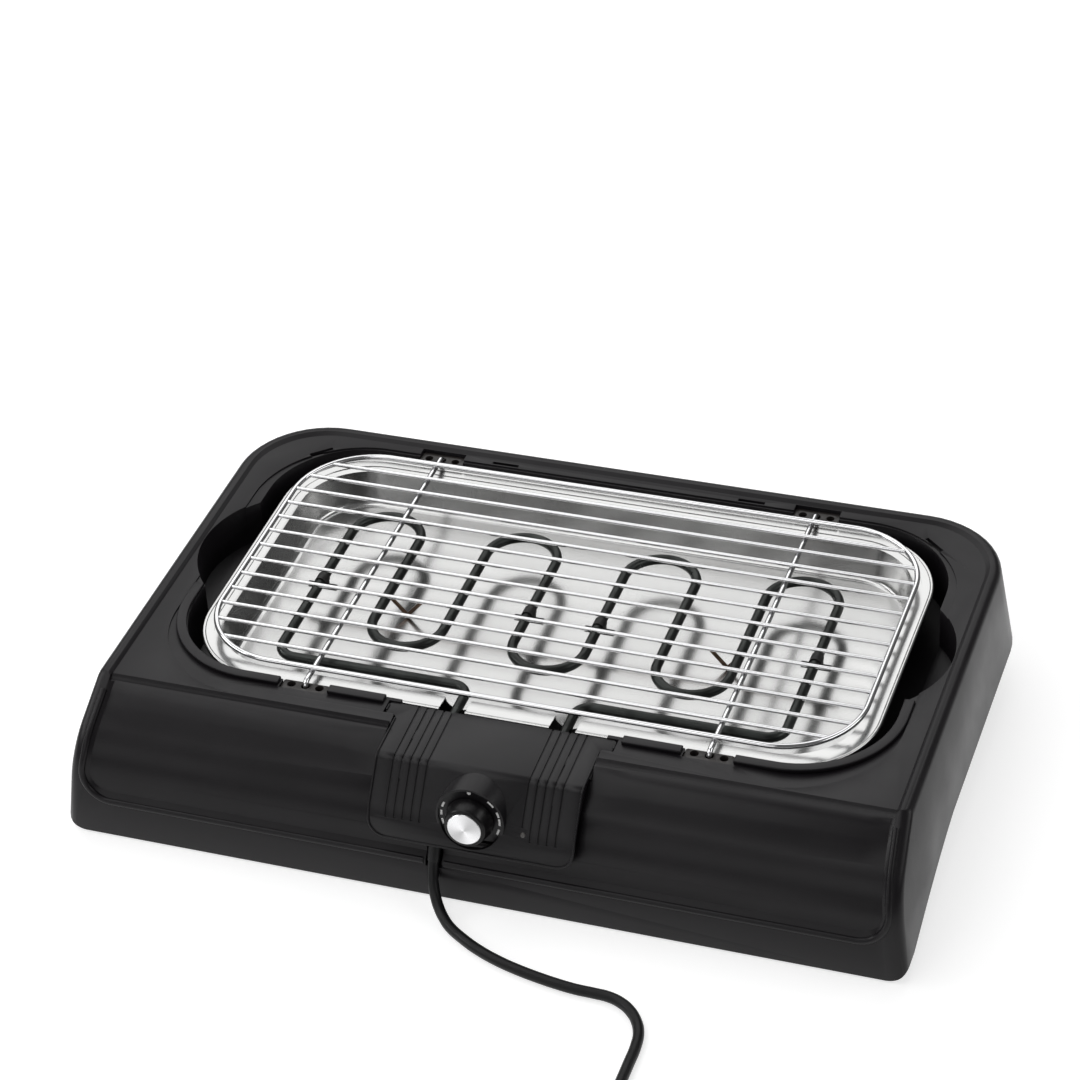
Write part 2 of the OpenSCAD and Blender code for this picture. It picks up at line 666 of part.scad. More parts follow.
module water_tray() {
    color("#c9cac8") from_well() difference() {
        union() {
            translate([0, 0, flange_z])
                wire_loop(tray_w - bead_d, tray_d - bead_d, tray_corner_r - bead_d / 2, bead_d);
            tray_flange(bead_d / 2, flange_high_w + sheet, flange_z + 0.1);
            tray_flange(flange_high_w, flange_w - sheet / 2, flange_z - sheet / 2);
            pan_shell();
        }
        for (x = [-1, 1]) translate([x * cold_x, -tray_d / 2 + 10, tube_z + 3.7]) along_y(40)
            polygon(concat([[notch_w / 2, 30], [-notch_w / 2, 30]],
                arc2(0, 0, notch_w / 2, 180, 360, 12)));
    }
}

// ---------------------------------------------------------------- heater
// Quarter or half bend of the tube about p, from angle a through sweep
module bend(p, r, a, sweep) {
    translate([p.x, p.y, tube_z]) rotate([0, 0, a])
        rotate_extrude(angle = sweep, $fn = 64) translate([r, 0]) circle(d = tube_d);
}
module leg(x, y1, y2) { translate([x, (y1 + y2) / 2, tube_z]) tube_y(tube_d, y2 - y1); }
inner_r = 10;
outer_x = leg_pitch * 3.5;
pin_d = 3;
cold_end = -well_front - 27;
module heater_half() {
    leg(cold_x, cold_end, -bar_front - inner_r);
    bend([cold_x + inner_r, -bar_front - inner_r], inner_r, 90, 90);
    translate([(cold_x + inner_r + outer_x - corner_r) / 2, -bar_front, tube_z])
        tube_x(tube_d, outer_x - corner_r - cold_x - inner_r);
    bend([outer_x - corner_r, -bar_front + corner_r], corner_r, 270, 90);
    leg(outer_x, -bar_front + corner_r, bend_rear);
    bend([leg_pitch * 3, bend_rear], leg_pitch / 2, 0, 180);
    leg(leg_pitch * 2.5, -bend_front, bend_rear);
    bend([leg_pitch * 2, -bend_front], leg_pitch / 2, 180, 180);
    leg(leg_pitch * 1.5, -bend_front, bend_rear);
    bend([leg_pitch, bend_rear], leg_pitch / 2, 0, 180);
    leg(leg_pitch * 0.5, -bend_front, bend_rear);
    translate([cold_x, cold_end - 4, tube_z]) tube_y(pin_d, 8);
}
module heating_element() {
    color("#3c4743") from_well() {
        both_sides() heater_half();
        bend([0, -bend_front], leg_pitch / 2, 180, 180);
    }
}
wire_y = -9;
wire_z = tube_z - tube_d / 2 - support_d / 2;
vee_drop = wire_z - tray_floor_z - support_d / 2 - seat_gap;
module support_wire_solid() {
    wire_end = outer_x + 12.5;
    a = vee_x - vee_w / 2;
    b = vee_x + vee_w / 2;
    translate([0, wire_y, wire_z]) {
        rotate([0, 90, 0]) cylinder(d = support_d, h = 2 * a, center = true);
        both_sides() {
            capsule([a, 0, 0], [vee_x, 0, -vee_drop], support_d);
            capsule([vee_x, 0, -vee_drop], [b, 0, 0], support_d);
            translate([b, 0, 0]) rotate([0, 90, 0]) cylinder(d = support_d, h = wire_end - b);
        }
    }
}
module element_support_wire() { color("#5a4638") from_well() support_wire_solid(); }
clip_t = 0.8;
clip_w = 7;
clip_len = 19;
module element_clip(x) {
    color("#1d1d1e") from_well() difference() {
        union() {
            translate([x, wire_y, tube_z]) tube_y(tube_d + 2 * clip_t, clip_w);
            translate([x, wire_y, wire_z]) tube_x(support_d + 2 * clip_t, clip_len);
            translate([x, wire_y, (tube_z + wire_z) / 2])
                cube([tube_d + 2 * clip_t, support_d + 2 * clip_t, tube_z - wire_z], center = true);
        }
        translate([x, wire_y, tube_z]) tube_y(tube_d, far);
        translate([x, wire_y, wire_z]) tube_x(support_d, far);
    }
}
module element_clip_1() { element_clip(-outer_x); }
module element_clip_4() { element_clip(-leg_pitch / 2); }
module element_clip_5() { element_clip(leg_pitch / 2); }
module element_clip_8() { element_clip(outer_x); }

// ---------------------------------------------------------------- control unit
// The control cover takes the most skill. Its section is one line from the upright lower edge
// through a bow and a slope to a fold and a nearly flat top, each stretch tangent to the next,
// and its back follows the housing's own front at slide_gap. Hood, grooves, lens and ears are
// cut and joined on that section.
bracket_y = unit_rear_y - unit_wall - 4;
bracket_t = 1.5;
neck_floor_z = neck_low_z + unit_wall;
bracket_screw_x = 18;
bracket_w = 96;
bracket_h = 15;
bracket_foot = 5;
module element_bracket() {
    color("#9a9c9e") from_well() difference() {
        union() {
            translate([-bracket_w / 2, bracket_y, neck_floor_z]) cube([bracket_w, bracket_t, bracket_h]);
            translate([-bracket_w / 2, bracket_y - bracket_foot, neck_floor_z])
                cube([bracket_w, bracket_foot + bracket_t, bracket_t]);
        }
        both_sides() translate([cold_x, bracket_y, tube_z]) tube_y(tube_d, 10);
        both_sides() translate([bracket_screw_x, bracket_y - 2.6, 0]) cylinder(d = 3, h = far);
    }
}
module bracket_screws() {
    color("#b9bbbd") from_well() both_sides()
        translate([bracket_screw_x, bracket_y - 2.6, neck_floor_z]) {
            translate([0, 0, bracket_t]) cylinder(d = 4.8, h = 1.6);
            translate([0, 0, 0.4 - unit_wall]) cylinder(d = 3, h = unit_wall + bracket_t);
        }
}
function flip(v) = [for (i = [len(v) - 1:-1:0]) v[i]];
module unit_section(t) {
    polygon(concat(unit_front(t, unit_low + t, unit_rear_y - t),
        [[unit_rear_y - t, lid_gap_z + min(t, 0)]],
        flip(front_profile(-slide_gap, unit_low + t, lid_gap_z))));
}
// The unit's hollow, open towards the housing
module unit_hollow() {
    intersection() {
        along_x(unit_w - 2 * unit_wall) polygon(concat(
            unit_front(unit_wall, unit_low + unit_wall, unit_rear_y - unit_wall),
            [[unit_rear_y - unit_wall, unit_low + unit_wall]]));
        along_y(2 * far) rounded(unit_w - 2 * unit_wall, unit_low + unit_wall, far,
            unit_corner_r - unit_wall);
    }
}
module groove(x, low) {
    translate([x, 0, 0]) along_x(groove_w)
        polygon(concat(unit_front(-2, low, unit_rear_y + 1),
            flip(unit_front(groove_deep, low, unit_rear_y + 1))));
}
dial_r = hood_r - hood_wall;
lens_x = 33;
lens_d = 3.2;
lens_z = 57;
lens_heading = acos((lens_z - unit_c1.y) / unit_bow_r);
module on_lens() {
    translate([lens_x, unit_c1.x - unit_bow_r * sin(lens_heading), lens_z])
        rotate([lens_heading, 0, 0]) children();
}
// Screws that hold the back shell to the cover: [x, y, height of the joint]
cover_screw_at = [[48, pocket_rear_y - 9, unit_top_z - 16.2], [48, relief_y + 12, unit_low + 16.7]];
screw_d = 3;
bush_d = shaft_d + 0.1;
// Keeps only what stands in front of the housing's face
module before_face() {
    intersection() {
        children();
        along_x(4 * hood_r) polygon(concat(
            front_profile(-slide_gap, unit_low, far), [[-far, far], [-far, unit_low]]));
    }
}
module control_cover() {
    color("#222124") from_well() difference() {
        union() {
            difference() {
                union() {
                    intersection() {
                        along_x(unit_w) unit_section(0);
                        along_y(2 * far) rounded(unit_w, unit_low, far, unit_corner_r);
                    }
                    intersection() {
                        along_x(ear_w) unit_section(0);
                        linear_extrude(far) {
                            rounded(ear_w, unit_rear_y - ear_d, unit_rear_y, 2.5);
                            both_sides() translate([unit_w / 2, unit_rear_y - ear_d])
                                inner_fillet(ear_fillet);
                        }
                    }
                    before_face() on_dial() translate([0, 0, -20])
                        cylinder(r = hood_r, h = 20 + hood_edge, $fn = 96);
                }
                unit_hollow();
                for (i = [0:groove_count - 1]) {
                    groove(groove_inner + i * groove_pitch, i == 0 ? groove_low + 7 : groove_low);
                    groove(-groove_inner - i * groove_pitch, groove_low);
                }
            }
            before_face() on_dial() translate([0, 0, -unit_wall])
                cylinder(r = hood_r, h = unit_wall, $fn = 96);
            on_dial() translate([0, 0, -9]) cylinder(r = 8, h = 8);
            for (p = cover_screw_at) both_sides() intersection() {
                translate([p.x, p.y, p.z]) cylinder(d = 8, h = 40);
                along_x(unit_w - 2) unit_section(0.5);
            }
        }
        on_dial() {
            cylinder(r = dial_r, h = far, $fn = 96);
            translate([0, 0, -20]) cylinder(d = bush_d, h = far);
        }
        on_lens() translate([0, 0, -20]) cylinder(d = lens_d, h = 40);
        on_relief() translate([0, 0, -relief_len]) cylinder(d = 10.4, h = relief_len + 8);
        for (p = cover_screw_at) both_sides()
            translate([p.x, p.y, p.z - 1]) cylinder(d = screw_d, h = 9);
    }
}
module on_relief() {
    translate([cord_x, relief_y, shell_low_z]) rotate([-relief_tilt, 0, 0]) children();
}
module relief_solid() {
    on_relief() {
        translate([0, 0, 4.2]) cylinder(d = 10.4, h = 2.4);
        translate([0, 0, -2]) cylinder(d = 8.2, h = 6.4);
        translate([0, 0, -relief_len]) cylinder(d1 = relief_tip_d, d2 = 9, h = relief_len - 2 + eps);
    }
}
module strain_relief() { color("#1a1a1b") from_well() relief_solid(); }
switch_x = 33;
switch_y = shell_rear_y - unit_wall - 7;
plunger_d = 3;
shell_top_z = lid_gap_z - seat_gap;
module shell_block() {
    intersection() {
        along_x(shell_w) polygon(concat(
            unit_front(unit_wall + seat_gap, shell_low_z, shell_rear_y),
            [[shell_rear_y, shell_low_z]]));
        translate([0, 0, shell_top_z - far]) linear_extrude(far) square(2 * far, center = true);
    }
    translate([-shell_w / 2, shell_rear_y - 4, neck_low_z])
        cube([shell_w, unit_rear_y - shell_rear_y + 4, shell_top_z - neck_low_z]);
}
// Hollow of the shell, open to the front and the top
module shell_hollow() {
    inner_w = shell_w - 2 * unit_wall;
    translate([-inner_w / 2, -far, shell_low_z + unit_wall])
        cube([inner_w, far + shell_rear_y - unit_wall, far]);
    translate([-inner_w / 2, shell_rear_y - 20, neck_floor_z])
        cube([inner_w, unit_rear_y - unit_wall - shell_rear_y + 20, far]);
}
module control_back_shell() {
    color("#262528") from_well() difference() {
        union() {
            difference() { shell_block(); shell_hollow(); }
            for (p = cover_screw_at) both_sides()
                translate([p.x, p.y, shell_low_z]) cylinder(d = 8, h = p.z - shell_low_z);
        }
        for (p = cover_screw_at) both_sides() translate([p.x, p.y, 0]) {
            cylinder(d = screw_d + 0.4, h = far);
            cylinder(d = 5.8, h = p.z - 6);
        }
        both_sides() translate([cold_x, unit_rear_y, tube_z]) tube_y(tube_d + 0.6, 12);
        both_sides() translate([bracket_screw_x, bracket_y - 2.6, neck_low_z + 0.4])
            cylinder(d = 3, h = 10);
        translate([switch_x, switch_y, 0]) cylinder(d = plunger_d + 0.4, h = shell_low_z + 5);
        on_dial() translate([0, 0, -unit_wall - 0.4]) cylinder(r = hood_r + 0.4, h = 30, $fn = 96);
        relief_solid();
    }
}
module cover_screws() {
    color("#b9bbbd") from_well() for (p = cover_screw_at) both_sides()
        translate([p.x, p.y, p.z - 8]) {
            cylinder(d = 5.4, h = 2);
            cylinder(d = screw_d, h = 15);
        }
}
module thermostat() {
    color("#e3ddcd") from_well() on_dial() difference() {
        union() {
            translate([-15, -11, -30]) cube([30, 20, 16]);
            translate([0, 0, -15]) cylinder(d = 11, h = 5.8);
        }
        translate([0, 0, -22]) cylinder(d = bush_d, h = 24);
    }
}
module thermostat_shaft() {
    color("#a8a9ab") from_well() on_dial()
        translate([0, 0, -21.5]) cylinder(d = shaft_d, h = 21.5 + knob_gap + knob_h - 3);
}
block_x = -30;
block_y = switch_y;
module terminal_block() {
    color("#dcd8cc") from_well() translate([block_x, block_y, shell_low_z + unit_wall]) difference() {
        translate([-13, -6, 0]) cube([26, 12, 12]);
        for (x = [-8, 0, 8]) translate([x, 0, 5]) cylinder(d = 3, h = 12);
    }
}
module safety_switch() {
    color("#1b1b1c") from_well() translate([switch_x, switch_y, shell_low_z + unit_wall])
        difference() {
            translate([-10, -5, 0]) cube([20, 10, 16]);
            translate([0, 0, -1]) cylinder(d = plunger_d + 0.4, h = 9);
        }
}
plunger_low = pocket_low_z + seat_gap;
module switch_plunger() {
    color("#c8442f") from_well() translate([switch_x, switch_y, plunger_low])
        cylinder(d = plunger_d, h = shell_low_z + unit_wall + 5 - plunger_low);
}
// Wire through the points of v, cut square at both ends
module lead(v, d) {
    for (i = [0:len(v) - 2]) {
        w = v[i + 1] - v[i];
        translate(v[i]) rotate([0, acos(w.z / norm(w)), atan2(w.y, w.x)])
            cylinder(d = d, h = norm(w));
        if (i > 0) translate(v[i]) sphere(d = d * joint_full);
    }
}
block_top = shell_low_z + unit_wall + 12;
pin_end = cold_end - 8;
module internal_leads() {
    $fn = 16;
    top = shell_low_z + unit_wall + 16;
    lead_z = (block_top + tube_z - tube_d / 2) / 2;
    tag_y = dial_y + 25.5;        // the thermostat's tags
    lamp_y = relief_y + 5.7;      // the lamp's rear end
    color("#b8b4a8") from_well() {
        lead([[-cold_x, pin_end, tube_z], [-cold_x, pin_end - 5, tube_z],
            [block_x, block_y, lead_z], [block_x, block_y, block_top - 6]], 2.4);
        lead([[cold_x, pin_end, tube_z], [cold_x, pin_end - 5, tube_z],
            [switch_x - 5, switch_y, top + 6], [switch_x - 5, switch_y, top]], 2.4);
        lead([[block_x + 8, block_y, block_top - 6], [block_x + 8, block_y, block_top + 3],
            [-20, tag_y, block_top + 3], [-15.1, tag_y, block_top + 3]], 2.4);
        lead([[15.1, tag_y, block_top + 3], [20, tag_y, block_top + 3], [switch_x - 8, switch_y, top + 6],
            [switch_x - 8, switch_y, top]], 2.4);
        lead([[cord_x, relief_y + 3.2, shell_low_z + 6.6], [cord_x - 1, relief_y + 14, 63],
            [block_x - 4, block_y - 9, lead_z], [block_x - 8, block_y, block_top + 4],
            [block_x - 8, block_y, block_top - 6]], 2.6);
        lead([[lens_x, lamp_y, 51.6], [lens_x, lamp_y + 3, 49.9], [lens_x + 1, lamp_y + 9, 62],
            [switch_x - 2, switch_y, top + 6],
            [switch_x - 2, switch_y, top]], 1.4);
    }
}
module indicator_lens() {
    color("#c9c7c4") from_well() on_lens() {
        translate([0, 0, -3]) cylinder(d = lens_d, h = 3);
        cylinder(d1 = lens_d, d2 = lens_d - 1, h = 0.4);
    }
}
module indicator_lamp() {
    color("#e2893f") from_well() on_lens() translate([0, 0, -11]) cylinder(d = 4.6, h = 8);
}
clamp_z = shell_low_z + unit_wall;
module cord_clamp() {
    color("#e3ddcd") from_well() translate([cord_x, relief_y + 12.5, clamp_z]) difference() {
        translate([-9, -3, 0]) cube([18, 6, 7]);
        for (x = [-6.2, 6.2]) translate([x, 0, -1]) cylinder(d = 2.6, h = 20);
    }
}
module clamp_screws() {
    color("#b9bbbd") from_well() translate([cord_x, relief_y + 12.5, clamp_z])
        for (x = [-6.2, 6.2]) translate([x, 0, 0]) {
            cylinder(d = 2.6, h = 7);
            translate([0, 0, 7]) cylinder(d = 4.4, h = 1.4);
        }
}

// ---------------------------------------------------------------- knob
module knob() {
    color("#1f1f21") from_well() on_dial() difference() {
        translate([0, 0, knob_gap]) rotate_extrude($fn = 96) polygon([
            [0, 0], [knob_r - 0.5, 0], [knob_r, 0.6], [knob_r - 0.2, 2],
            [knob_front_r + 0.15, knob_h - 1.4], [knob_front_r - 0.3, knob_h - 0.5],
            [knob_front_r - 1, knob_h], [0, knob_h]]);
        translate([0, 0, -1]) cylinder(d = shaft_d, h = knob_h - 3 + 1 + knob_gap);
        translate([0, 0, knob_gap + knob_h - cap_h + cap_proud]) cylinder(r = cap_r, h = 10, $fn = 96);
    }
}
module knob_cap() {
    color("#d9dadb") from_well() on_dial() translate([0, 0, knob_gap + knob_h + cap_proud - cap_h])
        rotate_extrude($fn = 96) polygon([[0, 0], [cap_r, 0], [cap_r, cap_h - 0.4],
            [cap_r - 0.4, cap_h], [0, cap_h]]);
}

// ---------------------------------------------------------------- grille
bars_y = -1;
frame_dy = bar_pitch * (bar_count - 1) / 2 + frame_gap + 0.5;
module cross_wires() {
    turn = 4;
    low = rest_top_z - hole_deep + seat_gap;
    both_sides() translate([rest_x, 0, 0]) {
        translate([0, 0, cross_z]) tube_y(cross_d, 2 * (hole_y - turn));
        for (y = [-1, 1]) {
            translate([0, y * (hole_y - turn), cross_z - turn]) rotate([90, 0, 90])
                rotate([0, 0, y > 0 ? 0 : 90]) rotate_extrude(angle = 90)
                    translate([turn, 0]) circle(d = cross_d);
            translate([0, y * hole_y, low]) cylinder(d = cross_d, h = cross_z - turn - low);
        }
    }
}
module frame_wire() {
    translate([0, bars_y, bar_z]) wire_loop(grille_w, 2 * frame_dy, frame_corner_r, frame_d);
}
module grille_frame() {
    color("#d6d7d9") from_well() difference() { frame_wire(); cross_wires(); }
}
module grille_bars() {
    color("#d6d7d9") from_well() difference() {
        intersection() {
            for (i = [0:bar_count - 1])
                translate([0, bars_y + (i - (bar_count - 1) / 2) * bar_pitch, bar_z])
                    tube_x(bar_d, grille_w + 20);
            translate([0, 0, bar_z - 5]) linear_extrude(10)
                rounded(grille_w, bars_y - frame_dy, bars_y + frame_dy, frame_corner_r);
        }
        frame_wire();
    }
}
module cross_wire(side) {
    color("#d6d7d9") from_well() intersection() {
        cross_wires();
        translate([side * far / 2, 0, 0]) cube([far - 2, 2 * far, 2 * far], center = true);
    }
}
module cross_wire_left() { cross_wire(-1); }
module cross_wire_right() { cross_wire(1); }

// ---------------------------------------------------------------- mains cord
relief_tip = [cord_x, relief_y - relief_len * sin(relief_tilt),
              shell_low_z - relief_len * cos(relief_tilt)];
lay_z = cord_d / 2;
cord_front = relief_tip.y - 0.243;
// Middle line of the cord from the strain relief to the coil, with y from cord_front
cord_lay = [
    [-23.4, -4.2, 19.6], [-21.7, -8.4, 14.1], [-18.8, -13.2, 9.6], [-15, -18.2, 6.2],
    [-10.4, -23.2, 4.1], [-5.3, -28.1, lay_z], [6.5, -36.3, lay_z], [18, -42.6, lay_z],
    [31.6, -48.2, lay_z], [45.6, -52.4, lay_z], [59.9, -55.6, lay_z], [72, -57.7, lay_z],
    [84, -59.1, lay_z], [95, -59.4, lay_z], [104.6, -60, lay_z], [113, -62.8, lay_z],
    [120.4, -68, lay_z], [126.4, -75.4, lay_z], [130.2, -83.8, lay_z], [131.8, -94, lay_z],
    [132, -110, lay_z], [132, -128, lay_z], [132, -146, lay_z], [132, -166, lay_z]];
cord_route = concat([relief_tip, relief_tip + [0, -0.9, -1.8]],
    [for (p = cord_lay) p + [0, cord_front, 0]]);
// Sweep of a ring of n sides along the points of v
function unit(v) = v / norm(v);
function tangent_at(v, i) = unit(v[min(i + 1, len(v) - 1)] - v[max(i - 1, 0)]);
function ring(v, i, r, n) =
    let (t = tangent_at(v, i), s = unit(cross(t, abs(t.z) > 0.9 ? [1, 0, 0] : [0, 0, 1])),
         u = cross(s, t))
    [for (k = [0:n - 1]) v[i] + r * (s * cos(k * 360 / n + 180 / n) + u * sin(k * 360 / n + 180 / n))];
// Points of a smooth curve through v, m to each span
function smooth(v, m) = concat([for (i = [0:len(v) - 2], k = [0:m - 1])
    let (a = v[max(i - 1, 0)], b = v[i], c = v[i + 1], d = v[min(i + 2, len(v) - 1)], t = k / m)
    0.5 * (2 * b + t * (c - a) + t * t * (2 * a - 5 * b + 4 * c - d)
        + t * t * t * (3 * b - a - 3 * c + d))], [v[len(v) - 1]]);
module swept(v, r, n) {
    last = len(v) - 1;
    pts = [for (i = [0:last]) each ring(v, i, r, n)];
    sides = [for (i = [0:last - 1], k = [0:n - 1])
        [i * n + k, i * n + (k + 1) % n, (i + 1) * n + (k + 1) % n, (i + 1) * n + k]];
    polyhedron(pts, concat(sides, [[for (k = [n - 1:-1:0]) k]], [[for (k = [0:n - 1]) last * n + k]]),
        convexity = 10);
}
coil_at = [175.4, cord_front - 188];
coil_r = 40;
coil_layers = 3;
module power_cord() { color("#1c1c1d") from_well() swept(smooth(cord_route, 3), cord_d / 2, 12); }
module cord_coil() {
    color("#1c1c1d") from_well() translate([coil_at.x, coil_at.y, 0])
        rotate_extrude($fn = 64) translate([coil_r - cord_d, 0]) square([2 * cord_d, coil_layers * cord_d]);
}
tail_y = coil_at.y - coil_r - cord_d / 2;
top_lay_z = (coil_layers - 0.5) * cord_d;
boot_x = 209;
module cord_tail() {
    color("#1c1c1d") from_well()
        swept([[boot_x - 13, tail_y, top_lay_z], [boot_x - 10, tail_y, top_lay_z + 0.2],
            [boot_x - 7, tail_y, plug_r - 0.3], [boot_x - 3, tail_y, plug_r], [boot_x, tail_y, plug_r]],
            cord_d / 2, 12);
}
boot_len = 16;
pin_reach = 19;
module on_plug() { translate([boot_x, tail_y, plug_r]) rotate([0, 90, 0]) children(); }
module plug_body() {
    color("#1a1a1b") from_well() difference() {
        on_plug() {
            cylinder(d1 = cord_d + 2, d2 = 13, h = boot_len + eps);
            translate([0, 0, boot_len]) cylinder(d1 = 24, d2 = 2 * plug_r, h = 8);
            translate([0, 0, boot_len + 8 - eps]) cylinder(r = plug_r, h = plug_len - 8, $fn = 64);
        }
        on_plug() for (y = [-9.5, 9.5]) translate([0, y, boot_len + plug_len - 8])
            cylinder(d = 4.8, h = 20);
        on_plug() for (x = [-1, 1]) translate([x * (plug_r - 1), 0, boot_len + plug_len - 6])
            cube([2.4, 8, 14], center = true);
    }
}
module plug_pins() {
    color("#c9cacc") from_well() on_plug() for (y = [-9.5, 9.5])
        translate([0, y, boot_len + plug_len - 8]) {
            cylinder(d = 4.8, h = 8 + pin_reach - 1);
            translate([0, 0, 8 + pin_reach - 1]) cylinder(d1 = 4.8, d2 = 3, h = 1);
        }
}
module plug_earth_clips() {
    color("#b9a26a") from_well() on_plug() for (x = [-1, 1])
        translate([x * (plug_r - 1.7), 0, boot_len + plug_len - 6.5])
            cube([1, 5, 13], center = true);
}

base_housing();
grille_rest_front_left();
grille_rest_front_right();
grille_rest_rear_left();
grille_rest_rear_right();
rubber_foot_front_left();
rubber_foot_front_right();
rubber_foot_rear_left();
rubber_foot_rear_right();
water_tray();
heating_element();
element_support_wire();
element_clip_1();
element_clip_4();
element_clip_5();
element_clip_8();
element_bracket();
bracket_screws();
control_cover();
control_back_shell();
cover_screws();
thermostat();
terminal_block();
internal_leads();
indicator_lens();
indicator_lamp();
safety_switch();
switch_plunger();
cord_clamp();
clamp_screws();
strain_relief();
thermostat_shaft();
knob();
knob_cap();
grille_frame();
grille_bars();
cross_wire_left();
cross_wire_right();
power_cord();
cord_coil();
cord_tail();
plug_body();
plug_pins();
plug_earth_clips();
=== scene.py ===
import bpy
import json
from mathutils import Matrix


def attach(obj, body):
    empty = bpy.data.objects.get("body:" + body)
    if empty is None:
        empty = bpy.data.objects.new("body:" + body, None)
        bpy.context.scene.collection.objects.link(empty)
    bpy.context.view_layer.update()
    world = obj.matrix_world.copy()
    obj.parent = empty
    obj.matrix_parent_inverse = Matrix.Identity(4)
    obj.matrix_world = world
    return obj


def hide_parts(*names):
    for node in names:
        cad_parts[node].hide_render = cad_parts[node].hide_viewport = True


bl_info = {
    "name": "Table barbecue",
    "version": (1, 0, 0),
    "blender": (4, 5, 0),
    "location": "3D View > Sidebar > Barbecue",
    "description": "Dresses an electric table barbecue with its finishes, dial marks, cord and tie",
    "category": "Object",
}

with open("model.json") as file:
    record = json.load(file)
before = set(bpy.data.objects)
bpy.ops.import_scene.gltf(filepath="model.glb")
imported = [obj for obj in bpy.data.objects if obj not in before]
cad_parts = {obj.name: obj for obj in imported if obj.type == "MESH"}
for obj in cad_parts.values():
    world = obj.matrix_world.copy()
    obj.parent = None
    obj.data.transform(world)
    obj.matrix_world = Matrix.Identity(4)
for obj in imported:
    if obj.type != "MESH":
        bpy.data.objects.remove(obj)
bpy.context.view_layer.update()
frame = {"nodes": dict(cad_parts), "record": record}

import json
import math

import bmesh
import bpy
from mathutils import Matrix, Vector

MM = 0.001

# The dial's face: its centre, and the direction that it looks in
DIAL_TILT = math.radians(5)
DIAL_CENTRE = Vector((0, -163.136, 62.0)) * MM
DIAL_OUT = Vector((0, -math.cos(DIAL_TILT), math.sin(DIAL_TILT)))
DIAL_UP = Vector((0, math.sin(DIAL_TILT), math.cos(DIAL_TILT)))


# ------------------------------ sizes and colours
def length(name, description, default, low, high):
    """Length property, given in mm."""
    return bpy.props.FloatProperty(
        name=name, description=description, default=default * MM, min=low * MM, max=high * MM,
        unit="LENGTH", subtype="DISTANCE")


class GrillSizes(bpy.types.PropertyGroup):
    """Sizes that a user may change."""
    edge_round: length("Edge round", "Width of the rounding on moulded edges", 0.6, 0.1, 1.2)
    fine_round: length("Fine round", "Width of the rounding on small pieces", 0.3, 0.05, 0.6)
    mark_radius: length("Mark radius", "From the dial's centre to its marks", 18.4, 17, 19.4)
    mark_width: length("Mark width", "Width of a mark on the dial", 1.3, 0.4, 1.6)
    cord_diameter: length("Cord diameter", "Diameter of the mains cord", 6.8, 6, 7.4)
    coil_radius: length("Coil radius", "Radius of the coil at the middle of its turns", 40, 34, 48)
    tie_width: length("Tie width", "Width of the strap round the coil", 7, 4, 12)


def colour(name, description, default):
    return bpy.props.FloatVectorProperty(
        name=name, description=description, default=default, size=3, min=0, max=1, subtype="COLOR")


class GrillColours(bpy.types.PropertyGroup):
    """Base colours of the finishes."""
    housing: colour("Housing", "Moulded housing", (0.0085, 0.0074, 0.0088))
    unit: colour("Control unit", "Cover of the control unit", (0.0100, 0.0092, 0.0104))
    rests: colour("Rests", "Heat-proof rests of the grille", (0.014, 0.011, 0.010))
    rubber: colour("Rubber", "Feet", (0.010, 0.010, 0.010))
    tray: colour("Tray", "Water tray", (0.56, 0.56, 0.555))
    element: colour("Heating element", "Sheath of the heating element", (0.034, 0.037, 0.035))
    wire: colour("Support wire", "Browned support wire", (0.16, 0.105, 0.075))
    chrome: colour("Grille", "Plated wire", (0.72, 0.72, 0.73))
    cap: colour("Cap", "Turned cap of the knob", (0.78, 0.78, 0.79))
    cord: colour("Cord", "Mains cord and plug", (0.006, 0.006, 0.0065))
    marks: colour("Marks", "Print on the dial", (0.90, 0.90, 0.89))


def sizes():
    return bpy.context.scene.grill_sizes


def colours():
    return bpy.context.scene.grill_colours


# ------------------------------ finishes
NOISE_LOW, NOISE_HIGH = 0.3, 0.7  # most of a noise pattern lies between these
CAP_RINGS = 0.32 * MM          # from one turning ring of the cap to the next
CAP_PAINTED_FANS = 2                   # painted highlight: fans of lighter colour round the cap
